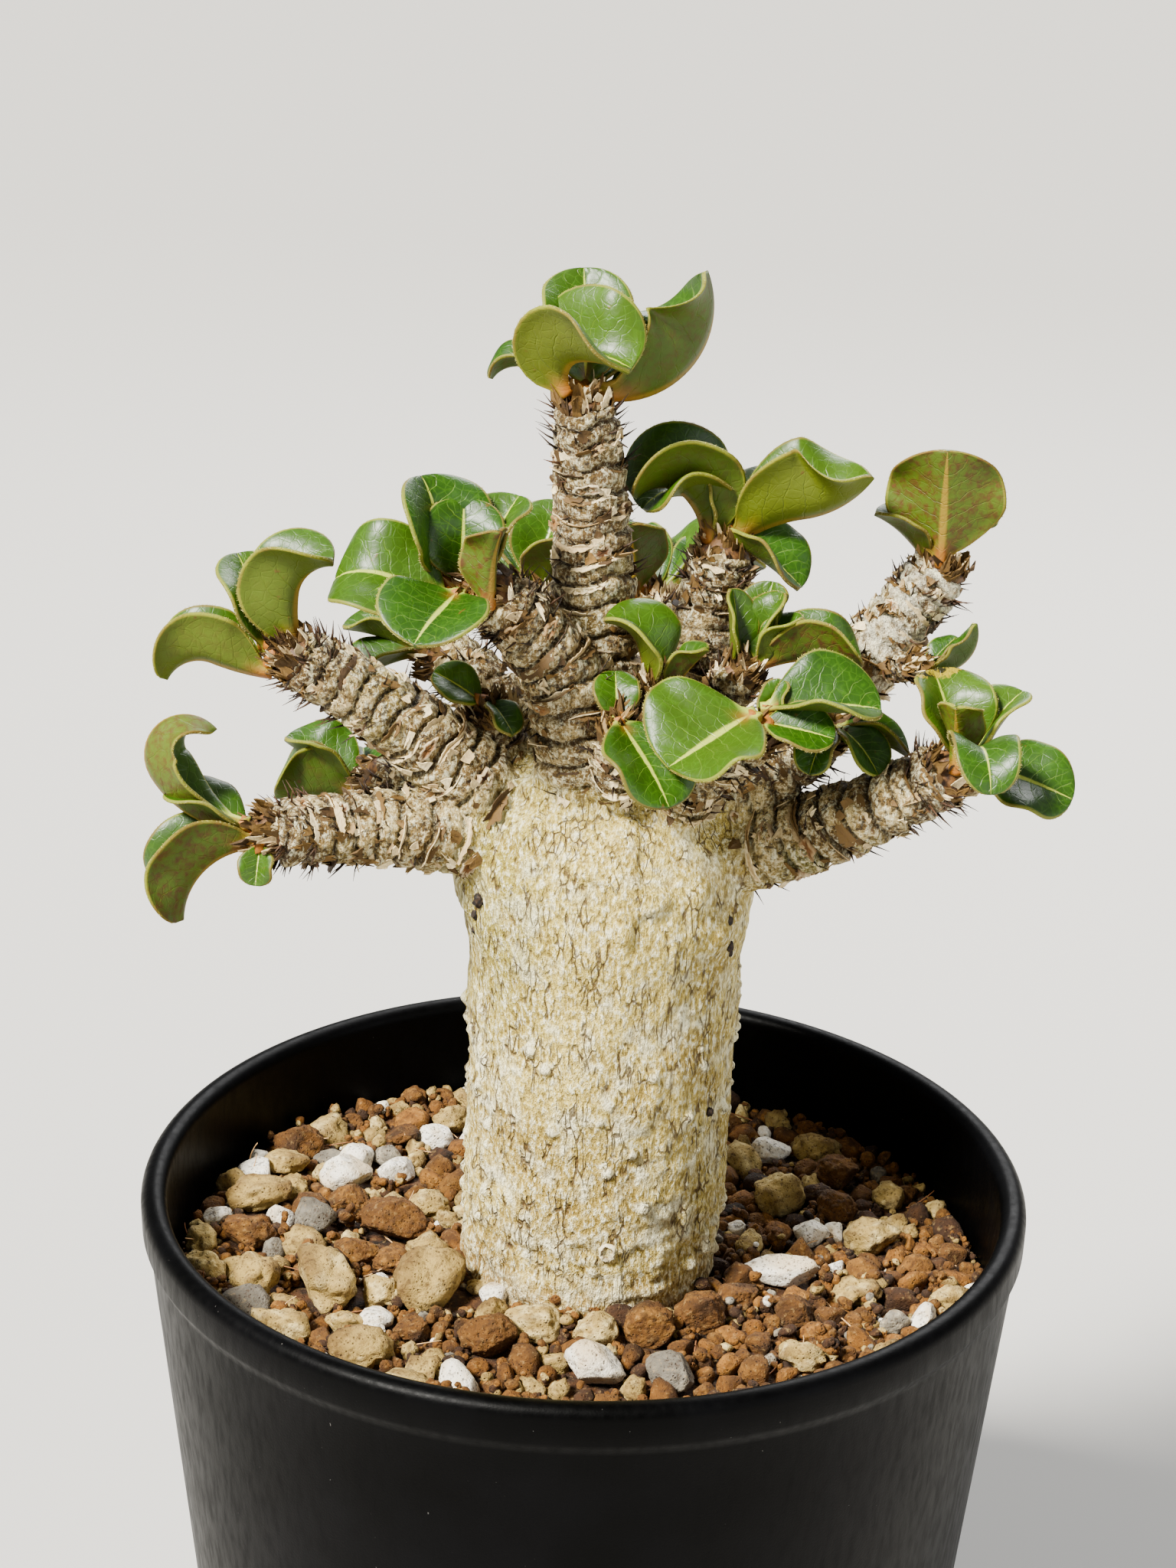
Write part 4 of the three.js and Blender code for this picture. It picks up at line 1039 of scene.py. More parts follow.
def build_frills(random):
    """Ragged papery skin that stands off the ledges of the rings, in strips along them."""
    heap = Heap()
    for number, line in enumerate(LINES.values()):
        thick = line.radius.mean()
        count = int(line.length / ring_pitch(thick)) + 1
        for ledge in np.repeat(np.arange(count), 5):
            span = random.uniform(0.3, 1.5)
            columns = max(4, int(span * thick / 0.32))
            around = random.uniform(0, 2 * math.pi) + np.linspace(0, span, columns)
            reach = np.full(columns, ledge * line.length / count)
            # slides along the branch until the strip lies on the ledge
            for _ in range(5):
                radius = line.radius_at(reach)
                off = ledge + 0.84 - ring_phase(reach, around, radius, number, line.at(reach, around, radius))
                reach = np.clip(reach + off * ring_pitch(radius), 0, line.length)
            skin, ahead, outward = line.skin(reach, around, 1, 2)
            if reach.min() < 0.18 * line.length or reach.max() > line.length - 0.1:
                continue
            if not exposed(skin[columns // 2], line):
                continue
            taper = np.sin(math.pi * np.linspace(0.06, 0.94, columns)) ** 0.5
            tall = (taper * random.uniform(0.4, 1.3) * (0.6 + 0.5 * random.random(columns)))[:, None]
            lean = random.uniform(0.25, 1.2)
            sense = 1 if random.random() < 0.65 else -1
            way = unit(sense * math.cos(lean) * ahead + math.sin(lean) * outward)
            curl = random.uniform(-0.3, 0.5)
            share = np.array([-0.3, 0.4, 1.0])[:, None, None]
            grid = skin + (way * tall) * share + outward * (0.12 + curl * (tall * np.maximum(share, 0)) ** 2)
            half = np.broadcast_to(np.cross(way, unit(np.gradient(skin, axis=0))) * 0.055, grid.shape)
            points, faces = sheet(grid.reshape(-1, 3), half.reshape(-1, 3), 3, columns)
            heap.add(points, faces, tint=husk_colour(random, 0.3 + 0.3 * reach.mean() / line.length))
    return heap


def build_stubs(random):
    """Black specks on the trunk and the pale ring of a lost root."""
    heap = Heap()
    shape, faces = ball(3)
    for x, height, size in SPECKS:
        middle, wide, deep = trunk_at(height)
        turn = math.acos(np.clip((x - middle) / wide, -0.996, 0.996))
        spot = np.array([middle + wide * math.cos(turn), -deep * math.sin(turn), height])
        lumpy = shape * (1 + 0.6 * layered(shape * 2.6 + x, 3, 3))[:, None] * size * 0.75
        heap.add(lumpy * np.array([0.9, 0.8, 1.3]) + spot, [faces], tint=srgb(14, 10, 7))
    root_x, root_z, sides = 3.2, 105, 20
    middle, wide, deep = trunk_at(root_z)
    hub = np.array([root_x, -deep * math.sqrt(1 - ((root_x - middle) / wide) ** 2), root_z])
    turn = circle(sides)
    rows = []
    for far, high, _ in ROOT_RINGS:
        edge = np.column_stack([np.cos(turn) * far, np.full(sides, -high), np.sin(turn) * far * 1.2])
        rows.append(hub + edge + 0.07 * random.normal(size=(sides, 3)))
    tint = np.repeat([colour for _, _, colour in ROOT_RINGS], sides, axis=0)
    heap.add(np.concatenate(rows), [grid_faces(len(rows), sides, closed=True)], tint=tint)
    return heap


# ---------------------------------------------------------------- leaves
LEAF_ROWS = 34
HALF_COLUMNS = 11
LEAF_THICK = 0.9
STALK_RADIUS = 0.85
TIP_FROM = 0.62
VEINS = 7.5
VEIN_SWEEP = 1.7
FELT_THICK = 0.03

# how yellow and how brown a leaf's underside is, from 0 to 1, where the photo shows it
AGES = {
    ("top", 0): (0.9, 0.1), ("top", 2): (0.2, 0.5), ("left_mid", 4): (0.3, 1.0),
    ("left_upper", 0): (0.5, 0.1), ("left_upper", 2): (0.6, 0.25), ("left_lower", 0): (0.5, 0.8),
    ("left_lower", 1): (0.3, 0.9), ("left_back", 0): (0.1, 0.4), ("right_centre", 1): (0.3, 0.3),
    ("right_centre", 2): (0.9, 0.05), ("right_upper", 0): (0.4, 0.9), ("front_a", 1): (0.3, 1.0),
    ("front_b", 0): (0.3, 1.0), ("right_lower", 0): (1.0, 0.7), ("right_lower", 1): (0.6, 0.7),
}


def blade_half(share, width):
    """Half the width of a blade at a share of its length."""
    rise = np.clip((share - 0.08) / (WIDE_AT - 0.08), 0, 1)
    low = PETIOLE + (1 - PETIOLE) * np.sin(math.pi / 2 * rise) ** 0.85
    fall = np.clip((share - WIDE_AT) / (1 - WIDE_AT), 0, 1)
    high = np.sqrt(np.maximum(0, 1 - fall**2.2))
    return np.where(share < WIDE_AT, low, high) * width / 2


def foot_of(at, row):
    """The level way that a leaf heads, and its foot."""
    heading = math.radians(row[0])
    level = np.array([math.cos(heading), math.sin(heading), 0])
    return level, at + (row[8] if len(row) > 8 else (0, 0, 0)) + level * ROSETTE_OFFSET


def leaf(at, row, random):
    """One thick folded leaf: points, faces, across, along and face at each point, and its two margins."""
    _, lift, reach, width, fold, bend, curl, roll, *_ = row
    level, foot = foot_of(at, row)
    up = np.array([0, 0, 1.0])
    lift = math.radians(lift)
    along = level * math.cos(lift) + up * math.sin(lift)
    upper = turned(up * math.cos(lift) - level * math.sin(lift), along, -math.radians(roll))
    aside = np.cross(along, upper)
    start = foot - along * LEAF_SUNK
    length = reach + LEAF_SUNK

    # the midrib bends in two halves, worked out in fine steps
    share = 1 - (1 - np.linspace(0, 1, LEAF_ROWS)) ** 1.55
    fine = np.linspace(0, 1, 241)
    turn = -np.radians(bend * np.minimum(fine, 0.5) / 0.5 + curl * np.maximum(fine - 0.5, 0) / 0.5)
    ways = np.array([turned(along, aside, a) for a in turn])
    path = start + np.vstack([np.zeros(3), np.cumsum((ways[1:] + ways[:-1]) / 2, axis=0)]) * length / 240
    centre = between(share, fine, path)[:, None]
    uppers = np.array([turned(upper, aside, a) for a in np.interp(share, fine, turn)])[:, None]
    half = np.maximum(blade_half(share, width), 0.02)[:, None]

    # each half of the blade folds up from the midrib and flattens towards the tip
    out = np.linspace(0, 1, HALF_COLUMNS) ** 0.85
    pick = np.round(out * 100).astype(int)
    fine = np.linspace(0, 1, 101)
    phase = random.uniform(0, 2 * math.pi, 2)
    slim = 0.75 + 0.25 * min(1, width / 14)
    folded = (fold + 4) * (1.13 * (1 - np.exp(-fine / 0.13))) - 20 * smooth_step(TIP_FROM, 1, fine)
    flatter = 1 - 0.6 * smooth_step(TIP_FROM, 1, share)
    step = half / 100
    columns, normals, across, thick = [], [], [], []
    for side, order in ((-1, slice(None, None, -1)), (1, slice(1, None))):
        wave = 9 * np.sin(2 * math.pi * share * 1.7 + phase[(side + 1) // 2]) * smooth_step(0.1, 0.5, share)
        angles = np.radians(folded[None] * flatter[:, None] + wave[:, None] * fine[None])
        wide = np.cumsum(np.cos(angles) * step, axis=1) - np.cos(angles[:, :1]) * step
        tall = np.cumsum(np.sin(angles) * step, axis=1) - np.sin(angles[:, :1]) * step
        wide, tall, angles = (rows[:, pick][:, order, None] for rows in (wide, tall, angles))
        columns.append(centre + side * wide * aside + tall * uppers)
        normals.append(np.cos(angles) * uppers - side * np.sin(angles) * aside)
        across.append(side * out[order])
        body = LEAF_THICK / 2 * slim * (1 - 0.42 * out[order])
        thick.append(np.minimum(body[None], 0.35 + 2 * half))
    columns, normals = np.concatenate(columns, 1), np.concatenate(normals, 1)
    across, thick = np.concatenate(across), np.concatenate(thick, 1)

    # midrib and veins
    risen = smooth_step(0.1, 0.3, share)[:, None]
    from_rib = np.abs(across)[None] * half
    keel = ((0.75 * (1 - share) ** 1.3 + 0.12) * slim)[:, None] * np.exp(-((from_rib / 0.75) ** 2))
    groove = 0.16 * np.exp(-((from_rib / 0.35) ** 2)) * smooth_step(0.12, 0.3, share)[:, None]
    veins = vein_lines(across[None], share[:, None], phase[0])
    puff = 0.10 * slim * (0.5 - veins) * risen * (1 - np.abs(across)[None] ** 3)
    top = columns + normals * (thick - groove + puff)[..., None]
    below = columns - normals * (thick + keel)[..., None]

    # rounded margins, right and left
    edges, margins = [], []
    for end, sense in ((-1, 1), (0, -1)):
        line, normal = columns[:, end], normals[:, end]
        outward = line - columns[:, end - sense]
        outward = unit(outward - normal * (outward * normal).sum(1)[:, None])
        rounded = [line + thick[:, end, None] * (math.cos(turn) * outward + math.sin(turn) * normal)
                   for turn in sense * np.radians([50, 0, -50])]
        edges.append(np.stack(rounded, 1))
        margins.append((rounded[1], unit(rounded[1] - line)))
    loop = np.concatenate([top, edges[0], below[:, ::-1], edges[1]], 1)
    points, faces = lofted(loop)
    u = np.concatenate([across, np.ones(3), across[::-1], -np.ones(3)])
    plain = np.ones(len(across))
    face = np.concatenate([plain, [0.4, 0, -0.4], -plain, [-0.4, 0, 0.4]])
    values = np.stack(np.broadcast_arrays(u[None], share[:, None], face[None]), -1).reshape(-1, 3)
    return points, faces, np.vstack([values, (0, 0, -1), (0, 1, 0)]), margins


def vein_lines(across, share, phase):
    """1 on the midrib and on the side veins that sweep up from it, 0 between them."""
    run = share * VEINS - np.abs(across) ** 1.25 * VEIN_SWEEP + phase
    gap = np.abs(run - np.floor(run) - 0.5) * 2
    return smooth_step(0.72, 1.0, gap)


def leaf_paint():
    """Green leather: a glossy upper face with pale veins, a duller olive underside, a felted margin."""
    paint = Paint("leaf_leather", Specular_IOR_Level=0.3, Subsurface_Weight=0.03, Subsurface_Scale=1.2 * MM,
                  Subsurface_Radius=(0.7, 1.0, 0.15), Coat_Roughness=0.3)
    across, share, face = paint.parts("blade")
    own, yellow, brown = paint.parts("age")
    out = paint.math("ABSOLUTE", across)
    wander = (paint.noise(0.35, 2) - 0.5) * 0.9
    sweep = paint.math("POWER", out, 1.25) * VEIN_SWEEP
    run = share * VEINS - sweep + own * (2 * math.pi) + wander
    gap = paint.math("ABSOLUTE", paint.math("FRACT", run) - 0.5) * 2.0
    side = gap.ramp(0.9, 1.0) * out.ramp(0.95, 0.3) * share.ramp(0.06, 0.2)
    net = paint.cells(0.75).ramp(0.01, 0.09, 1, 0) * 0.4
    rib_wide = paint.math("MULTIPLY_ADD", share, -0.075, 0.10)
    rib = 1.0 - paint.math("DIVIDE", out, rib_wide).ramp(0.5, 1.25)
    rib = paint.math("MAXIMUM", rib, share.ramp(0.16, 0.07))
    top = face.ramp(-0.1, 0.5)
    margin = out.ramp(0.975, 0.999)
    cloud = paint.noise(0.22, 3)
    mottle = paint.noise(1.1, 4)

    green = paint.coated(
        paint.mix(cloud, srgb(8, 32, 0), srgb(38, 76, 0)),
        (yellow * 0.4, srgb(76, 102, 0)),
        (mottle.ramp(0.5, 0.72) * 0.3, srgb(54, 98, 0)),
        (net * 0.3, srgb(80, 126, 12)),
        (side * 0.32, srgb(118, 154, 40)),
        (rib * 0.8, srgb(172, 182, 66)))
    under = paint.coated(
        paint.mix(cloud, srgb(28, 54, 0), srgb(64, 88, 0)),
        (yellow * 0.6, srgb(98, 104, 0)),
        (mottle.ramp(0.38, 0.7) * brown, srgb(70, 42, 4)),
        (side * 0.2, srgb(92, 104, 6)),
        (rib * 0.75, srgb(140, 110, 24)))
    edge = paint.mix(paint.noise(0.12, 2).ramp(0.42, 0.6), srgb(146, 146, 40), srgb(124, 92, 34))
    # the yellowest leaves end in a burnt tip, and husks cover the buds
    burnt = yellow.ramp(0.95, 0.99) * (share + mottle * 0.16).ramp(0.97, 1.0)
    scorch = paint.mix(mottle.ramp(0.46, 0.54), srgb(24, 12, 2), srgb(150, 130, 8))
    husk = paint.mix(mottle.ramp(0.35, 0.65), srgb(44, 26, 11), srgb(104, 70, 34))
    colour = paint.coated(
        paint.mix(top, under, green),
        (share.ramp(0.3, 0.04) * out.ramp(0.55, 0.1) * 0.7, srgb(142, 72, 20)),
        (margin * 0.45, edge),
        (paint.noise(0.55, 3).ramp(0.70, 0.74) * 0.6, srgb(86, 56, 18)),
        (burnt * 0.9, scorch),
        (share.ramp(-0.3, -0.7), husk))
    rough = paint.math("MULTIPLY_ADD", top, -0.2, 0.6) + margin * 0.25
    relief = side * -0.5 + net * -0.25 + mottle * 0.35
    return paint.finished(colour, rough, relief, 0.35, 0.5, Coat_Weight=top * 0.12)


def bud(name, at):
    """The short green-brown end of a shoot between the bark and the leaves' feet."""
    tip, radius, way, far, side, other = bud_frame(name, at)
    centres = [tip + way * far * share for share in BUD_SHARES]
    return tube(centres, [radius * wide for wide in BUD_WIDTHS], side, other, 22)


def build_rosettes(random):
    """One piece for each shoot: its bud, its leaves, and a stalk to each leaf that stands off the bud."""
    paint = leaf_paint()
    margins = []
    for name, (at, rows) in ROSETTES.items():
        at = np.array(at, float)
        heap = Heap()
        heap.add(*bud(name, at), blade=(0, -1, -1), age=(0.5, 0.2, 0.9))
        for number, row in enumerate(rows):
            yellow, brown = AGES.get((name, number), (0.8 * random.random() ** 1.5, random.uniform(0.1, 0.6)))
            own = (random.random(), yellow, brown)
            points, faces, blade, edges = leaf(at, row, random)
            heap.add(points, faces, blade=blade, age=own)
            margins += edges
            if len(row) > 8:
                _, foot = foot_of(at, row)
                way = unit(foot - at)
                side = unit(np.cross(way, (0.3, 0.9, 0.2)))
                centres = (at, (at + foot) / 2, foot + way * 0.5)
                stalk = tube(centres, [STALK_RADIUS] * 3, side, np.cross(way, side), 14)
                heap.add(*stalk, blade=(0, 0.05, -1), age=own)
        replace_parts(heap.made(name + "_leaves", paint, "leaf"), "rosette_" + name)
    return margins


def build_felt(random, margins):
    """The short pale hairs that stand along every leaf's margin."""
    heap = Heap()
    for line, outward in margins:
        reach = reach_of(line)
        count = int(reach[-1] * 6)
        spots = random.uniform(0.12 * reach[-1], reach[-1], count)
        here, way = between(spots, reach, line), between(spots, reach, outward)
        way = unit(way + 0.55 * random.normal(size=way.shape))
        side = unit(np.cross(way, (0.3, 0.5, 0.8)))
        other = np.cross(way, side)
        long = random.uniform(0.12, 0.34, count)[:, None]
        foot = here - way * 0.12
        low, high = foot - side * FELT_THICK / 2, other * FELT_THICK * 0.87
        corners = [foot + side * FELT_THICK, low + high, low - high, here + way * long]
        points = np.stack(corners, 1).reshape(-1, 3)
        first = 4 * np.arange(count)[:, None]
        faces = np.vstack([first + face for face in ((0, 1, 3), (1, 2, 3), (2, 0, 3), (0, 2, 1))])
        tint = blend(srgb(206, 200, 122), srgb(140, 118, 60), random.random(count))
        heap.add(points, [faces], tint=np.repeat(tint, 4, axis=0))
    return heap


# ---------------------------------------------------------------- mineral mix
BED_LOW = 2.55
BED_RADIUS = 56.2
MIX_STEP = 0.6
STONE_REACH = 55.5
HAIR_REACH = 55.2
HAIR_RADIUS = 0.13
# how a stone is shaped: size of its lumps, height of its coarse and fine lumps, how crumbly it is,
# how many flats are cut into it and how deep, height of its crust
TAN_SHAPE = (1.35, 0.5, 0.24, 0.95, 3, 0.6, 0.11)
PALE_SHAPE = (0.9, 0.26, 0.14, 0.6, 9, 0.9, 0.07)
BROWN_SHAPE = (0.9, 0.26, 0.14, 1.0, 5, 0.9, 0.11)
# kinds of stone: shape, plain, light and deep colour, share of each kind where pale and where brown prevail
STONE_KINDS = {
    "tan": (TAN_SHAPE, srgb(160, 134, 72), srgb(226, 204, 140), srgb(88, 62, 22), 0.36, 0.10),
    "brown": (BROWN_SHAPE, srgb(88, 54, 11), srgb(128, 86, 28), srgb(36, 20, 4), 0.22, 0.34),
    "white": (PALE_SHAPE, srgb(238, 231, 214), srgb(251, 249, 243), srgb(200, 176, 134), 0.13, 0.02),
    "grey": (PALE_SHAPE, srgb(112, 106, 94), srgb(190, 178, 150), srgb(74, 68, 58), 0.06, 0.03),
    "rust": (BROWN_SHAPE, srgb(108, 66, 12), srgb(146, 98, 32), srgb(46, 26, 4), 0.17, 0.31),
    "dark": (BROWN_SHAPE, srgb(46, 26, 9), srgb(76, 46, 18), srgb(20, 11, 4), 0.06, 0.20),
}


def bed_top(x, y):
    """Height of the mix before its stones: a little higher on the left, mounded at the trunk."""
    return SOIL_TOP - 0.5 - 0.018 * x + 0.8 * np.exp(-((np.hypot(x - 1, y) - 17) / 5) ** 2)


def bed_radius(height):
    """The radius of the mix against the pot's wall."""
    inner = RIM_RADIUS - 2 * LIP_RADIUS
    share = (height - POT_FLOOR) / (POT_HEIGHT - RIM_HEIGHT - 1 - POT_FLOOR)
    return BASE_RADIUS - POT_WALL + (inner - BASE_RADIUS + POT_WALL) * share - 0.35


def stone_paint():
    """Pitted and grained mineral in the colours of its points, with painted shade in its pits."""
    paint = Paint("mineral_mix_stone", Specular_IOR_Level=0.3)
    grain = paint.noise(1.3, 5, rough=0.7)
    pits = paint.cells(1.6, feature="F1")
    colour = paint.coated(
        paint.attribute("tint"),
        (grain.ramp(0.54, 0.68) * 0.2, srgb(206, 168, 104)),
        (grain.ramp(0.48, 0.36) * 0.62, srgb(58, 34, 12)),
        # painted shade in the sunken pits
        (pits.ramp(0.24, 0.1) * 0.6, srgb(60, 36, 14)))
    return paint.finished(colour, 0.85, grain + pits.ramp(0.05, 0.3) * 0.5, 0.8, 0.8)


def rocks(levels, stones, random, rough):
    """Many lumpy stones from one ball, each with its own place, three sizes, turns and kind."""
    shape, triangles = ball(levels)
    heap = Heap()
    for spot, size, turn, tip, kind in stones:
        (scale, coarse, small, crumbly, cuts, depth, crusty), plain, light, deep, *_ = STONE_KINDS[kind]
        seed = random.uniform(-90, 90, 3)
        lump = layered(shape * scale + seed, 3, 2)
        fine = layered(shape * 2.4 + seed, 7, 3)
        crust = layered(shape * 5.2 + seed, 13, 2)
        body = shape * (1.02 + rough * crumbly * (coarse * lump + small * fine))[:, None]
        for _ in range(cuts):
            cut = unit(random.normal(size=3))
            over = np.maximum(body @ cut - random.uniform(0.55, 0.85), 0)
            body = body - depth * over[:, None] * cut
        body = body * (1 + crusty * crust)[:, None]
        body = turned(body * size, unit(random.normal(size=3)), tip)
        x, y, z = body.T
        cos, sin = math.cos(turn), math.sin(turn)
        body = np.column_stack([x * cos - y * sin, x * sin + y * cos, z])
        shade = random.uniform(-0.25, 0.25)
        colour = coated(
            plain,
            (light, smooth_step(-0.1, 0.8, fine + shade)),
            (deep, smooth_step(0.0, 0.7, lump - shade) * 0.8),
            (deep, smooth_step(0.04, 0.4, 0.5 * fine + 0.7 * crust) * 0.6))
        heap.add(body + spot, [triangles], tint=colour)
    return heap


class Ground:
    """The height of the mix while stones come to rest on it."""

    def __init__(self):
        grid = int(2 * BED_RADIUS / MIX_STEP) + 2
        cells = (np.arange(grid) - grid / 2) * MIX_STEP
        self.x, self.y = np.meshgrid(cells, cells, indexing="ij")
        self.high = bed_top(self.x, self.y)

    def rest(self, x, y, reach, tall, sunk):
        """Rests a stone on what is under it, raises the ground there, and gives the stone's middle."""
        away = np.hypot(self.x - x, self.y - y)
        under = self.high[away < reach * 0.7]
        centre = (np.mean(under) if len(under) else float(bed_top(x, y))) + tall * sunk
        cap = away < reach
        crest = centre + tall * 0.9 * np.sqrt(np.maximum(0, 1 - (away[cap] / reach) ** 2))
        self.high[cap] = np.maximum(self.high[cap], crest)
        return x, y, centre


def open_ground(x, y, reach):
    """Whether a stone has room between the pot's wall and the trunk."""
    return (np.hypot(x, y) < bed_radius(SOIL_TOP + 1) - reach * 0.9
            and np.hypot((x - 1) / 17.6, y / 15.5) > 1 + 0.3 * reach / 17)


def scattered(ground, taken, count, low, high, gap, medium, random):
    """Stones at random places, clear of those taken; the medium ones are paler and larger on the left."""
    *_, pale_shares, brown_shares = zip(*STONE_KINDS.values())
    count = count
    marks = np.array(taken)
    stones = []
    for _ in range(count * 8):
        if len(stones) == count:
            break
        reach = low + (high - low) * random.random() ** 1.4
        far = math.sqrt(random.random()) * STONE_REACH
        turn = random.uniform(0, 2 * math.pi)
        x, y = far * math.cos(turn), far * math.sin(turn)
        if not open_ground(x, y, reach):
            continue
        paler = random.random() < 0.5 - x / 45 + y / 160 and medium
        if paler:
            reach *= 1.25
        away = np.hypot(marks[:, 0] - x, marks[:, 1] - y)
        if (away < np.where(marks[:, 2] > 1.2, marks[:, 2] + gap * reach, 0)).any():
            continue
        if medium:
            taken.append((x, y, reach))
            marks = np.array(taken)
        size = random.uniform(0.75, 1.3, 3) * reach
        size[2] = min(size[2], reach)
        spot = ground.rest(x, y, reach, size[2], 0.45 if medium else 0.3)
        turn, tip = random.uniform(0, 2 * math.pi), random.uniform(-0.6, 0.6)
        kind = random.choice(list(STONE_KINDS), p=pale_shares if paler else brown_shares)
        stones.append((spot, size, turn, tip, kind))
    return stones


def build_bed(paint):
    """The bed of fine mix under the stones, its brown darkened nearly to black as painted shade in the gaps
    between them.
    """
    rows = [(0, BED_LOW), (bed_radius(BED_LOW) - 0.6, BED_LOW), (bed_radius(BED_LOW), BED_LOW + 0.6)]
    rows += [(bed_radius(z), z) for z in np.linspace(8, SOIL_TOP - 2, 12)]
    rows += [(bed_radius(SOIL_TOP - 1), SOIL_TOP - 1)]
    rows += [(r, SOIL_TOP) for r in np.linspace(bed_radius(SOIL_TOP) - 0.3, 0.5, 90)]
    points, faces = lathe(rows + [(0, SOIL_TOP)], 220)
    top = points[:, 2] >= SOIL_TOP - 1.01
    raised = bed_top(points[:, 0], points[:, 1]) + 0.7 * layered(points / 2.2, 5, 3)
    points[:, 2] = np.where(top, points[:, 2] - SOIL_TOP + raised, points[:, 2])
    shade = layered(points / 1.7, 9, 3)
    # partly the fine mix's own dark brown, partly painted shade for the gaps between the stones
    colour = coated(
        srgb(48, 27, 9),
        (srgb(84, 50, 18), smooth_step(-0.2, 0.6, shade)),
        (srgb(18, 10, 4), smooth_step(0.1, -0.5, shade)))
    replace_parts(make("mix_bed", points, faces, paint, "mineral_mix", {"tint": colour}), "soil_mix")


def build_soil(random):
    """The bed, the listed stones, medium stones in their gaps, and granules over all."""
    paint = stone_paint()
    build_bed(paint)
    ground = Ground()
    listed, taken = [], []
    for kind, x, y, length, width, turn in STONES:
        reach, tall = (length + width) / 4, 0.46 * width
        spot = ground.rest(x, y, reach, tall, 0.85)
        size = (length / 2 * 1.03, width / 2 * 1.03, tall)
        listed.append((spot, size, math.radians(turn), 0.25 * random.normal(), kind))
        taken.append((x, y, reach))
    for name, pale, levels in (("mix_pale_stones", True, 4), ("mix_brown_stones", False, 5)):
        stones = [stone for stone in listed if (STONE_KINDS[stone[-1]][0] != BROWN_SHAPE) == pale]
        rocks(levels, stones, random, 0.9).made(name, paint, "mineral_mix")

    stones = scattered(ground, taken, 560, 1.1, 2.5, 0.69, True, random)
    rocks(3, stones, random, 1.1).made("mix_medium_stones", paint, "mineral_mix")
    stones = scattered(ground, taken, 4200, 0.35, 1.05, 0.45, False, random)
    middle = len(stones) // 2
    # two pieces keep each one's mesh small enough for its file
    for name, part in (("mix_granules_one", stones[:middle]), ("mix_granules_two", stones[middle:])):
        rocks(2, part, random, 1.1).made(name, paint, "mineral_mix")


def build_root_hairs(random):
    """Thin dry root ends among the stones, a few of them standing against the left wall."""
    heap = Heap()
    for k in range(70):
        by_wall = k < 12
        turn = math.radians(random.uniform(140, 215)) if by_wall else random.uniform(0, 2 * math.pi)
        far = random.uniform(50, 54) if by_wall else random.uniform(19, 53)
        foot = np.array([far * math.cos(turn), far * math.sin(turn), 0])
        foot[2] = bed_top(foot[0], foot[1]) + 0.6
        way = unit(np.array([random.normal(), random.normal(), 0.9 if by_wall else 0.35]))
        length = random.uniform(3, 7 if by_wall else 9)
        sag = unit(np.array([random.normal(), random.normal(), -0.4])) * length * 0.35
        side = unit(np.cross(way, (0.2, 0.3, 1)))
        shares = np.linspace(0, 1, 9)
        centres = []
        for share in shares:
            centre = foot + way * length * share + sag * share**2
            centre[:2] *= min(1, HAIR_REACH / math.hypot(centre[0], centre[1]))
            centre[2] = max(centre[2], bed_top(centre[0], centre[1]) + 0.9)
            centres.append(centre)
        points, faces = tube(centres, HAIR_RADIUS * (1 - 0.5 * shares), side, np.cross(way, side), 5)
        tint = srgb(196, 154, 104) if random.random() < 0.6 else srgb(132, 84, 48)
        heap.add(points, faces, tint=tint)
    return heap


# ---------------------------------------------------------------- place the pieces
random = np.random.default_rng(7)
build_pot()
build_bark()
places = list(scar_places(random))
build_scars(random, places).made("leaf_scars", dry_paint("scar_cork", 0.75), "bark")
build_bristles(random, places).made("bristles", dry_paint("bristle_dry", 0.6), "bark")
build_flakes(random, places).made("bark_flakes", dry_paint("flake_paper", 0.7), "bark", smooth=False)
build_frills(random).made("bark_frills", dry_paint("frill_paper", 0.7), "bark", smooth=False)
build_stubs(random).made("trunk_stubs", dry_paint("stub_dry", 0.7), "bark")
margins = build_rosettes(random)
build_felt(random, margins).made("leaf_felt", dry_paint("felt_hair", 0.6), "leaf", smooth=False)
build_soil(random)
build_root_hairs(random).made("root_hairs", dry_paint("root_hair", 0.7), "mineral_mix")
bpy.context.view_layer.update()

# ---------------------------------------------------------------- floor, light and camera
FLOOR_RADIUS = 40000
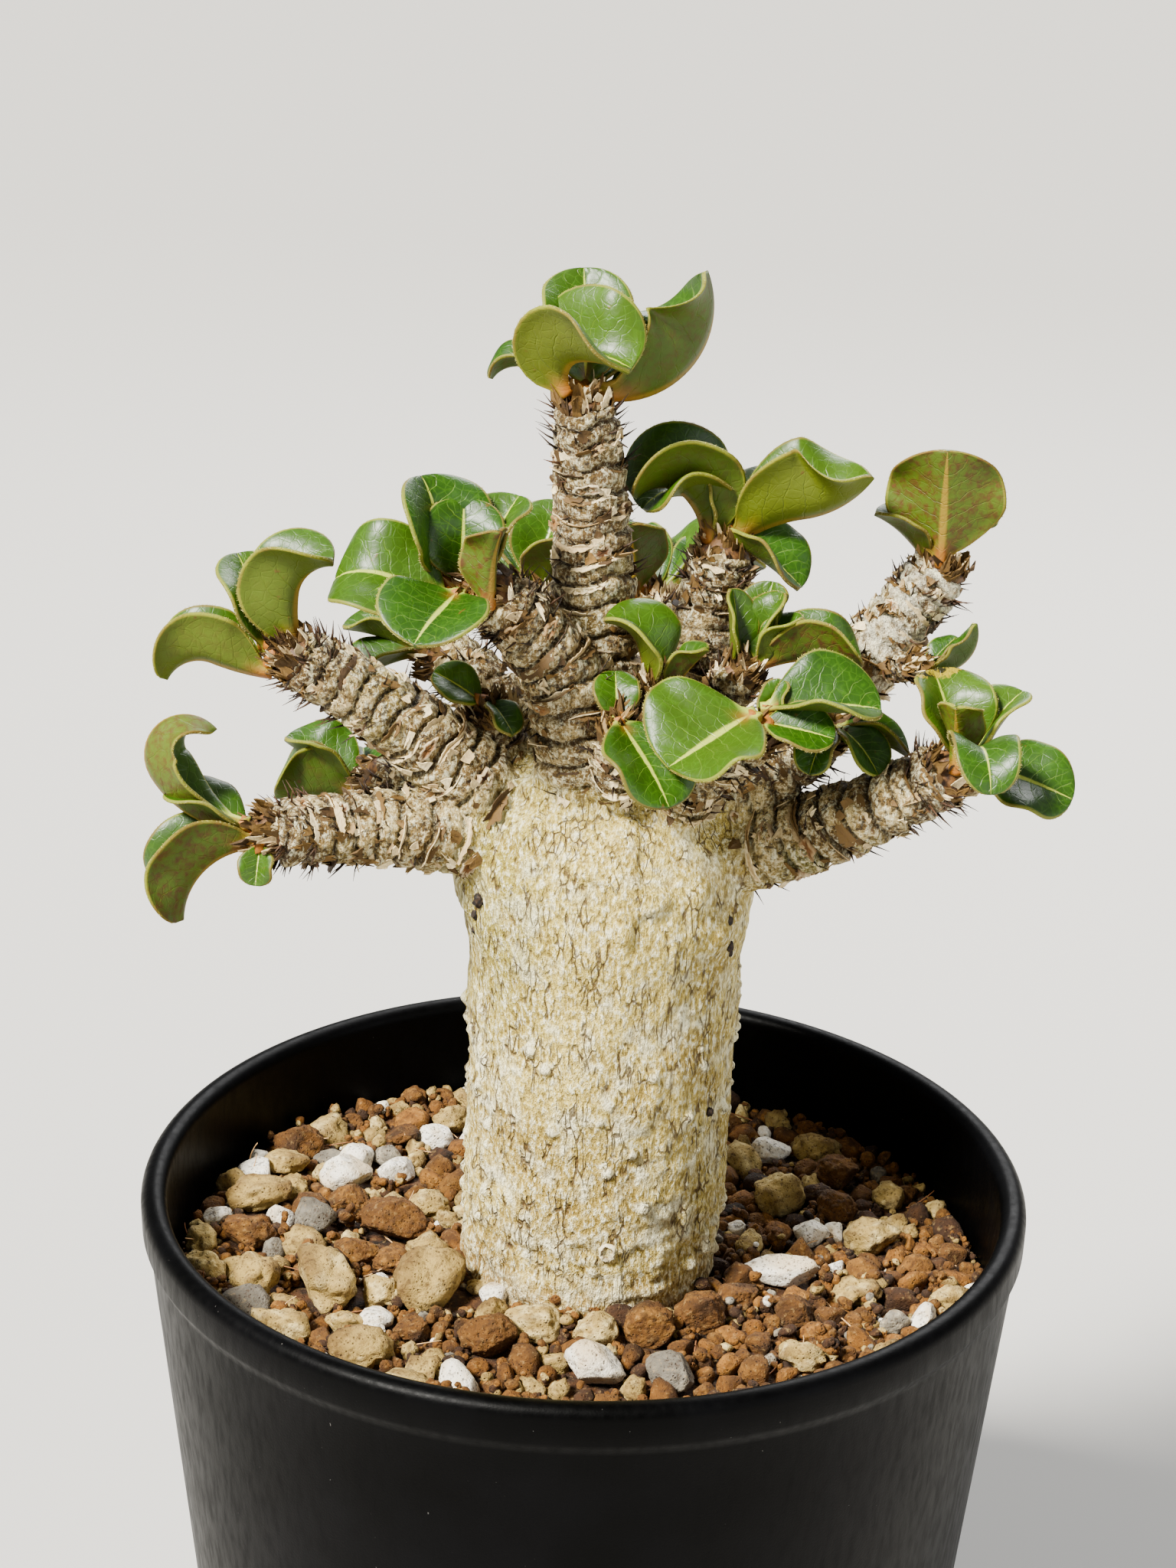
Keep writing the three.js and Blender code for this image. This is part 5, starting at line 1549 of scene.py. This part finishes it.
floor = Paint("pale_floor", Base_Color=srgb(178, 176, 172), Roughness=0.85)
disc, disc_faces = lathe([(0, -6), (FLOOR_RADIUS, -6), (FLOOR_RADIUS, -0.4), (0, -0.4)], 96)
ground = make("floor", disc, disc_faces, floor.material, None, smooth=False)

AIM = (0, 0, 150)


def lamp(name, kind, place, energy, size, colour):
    """A light that points at the plant; a sun's size is an angle, an area light's is in millimetres."""
    data = bpy.data.lights.new(name, kind)
    data.energy = energy
    data.color = colour
    if kind == "AREA":
        data.size = size * MM
    else:
        data.angle = math.radians(size)
    made = bpy.data.objects.new(name, data)
    made.location = np.array(place) * MM
    made.rotation_euler = Vector(np.array(AIM, float) - place).to_track_quat("-Z", "Y").to_euler()
    bpy.context.scene.collection.objects.link(made)


lamp("key", "SUN", (-420, -360, 760), 17, 14, (1.0, 0.97, 0.9))
lamp("fill", "AREA", (620, -420, 320), 2.2, 600, (0.95, 0.98, 1.0))
lamp("back", "AREA", (160, 620, 620), 8, 500, (1.0, 1.0, 1.0))

world = bpy.data.worlds.new("studio")
world.use_nodes = True
world.node_tree.nodes["Background"].inputs["Color"].default_value = (0.93, 0.96, 1.0, 1)
world.node_tree.nodes["Background"].inputs["Strength"].default_value = 0.29
bpy.context.scene.world = world

ELEVATION = math.radians(21.2)
ROLL = math.radians(1.5)
DISTANCE = 418
TARGET = np.array([-0.9, 0, 164.7])
back = np.array([0, -math.cos(ELEVATION), math.sin(ELEVATION)])
across = np.array([1.0, 0, 0])
upward = np.cross(back, across)
camera = bpy.data.cameras.new("photo_camera")
camera.sensor_width = 36
camera.lens = 73.83
eye = bpy.data.objects.new("photo_camera", camera)
place = np.eye(4)
place[:3, 0] = math.cos(ROLL) * across + math.sin(ROLL) * upward
place[:3, 1] = math.cos(ROLL) * upward - math.sin(ROLL) * across
place[:3, 2] = back
place[:3, 3] = (TARGET + back * DISTANCE) * MM
eye.matrix_world = Matrix(place.tolist())
bpy.context.scene.collection.objects.link(eye)
bpy.context.scene.camera = eye
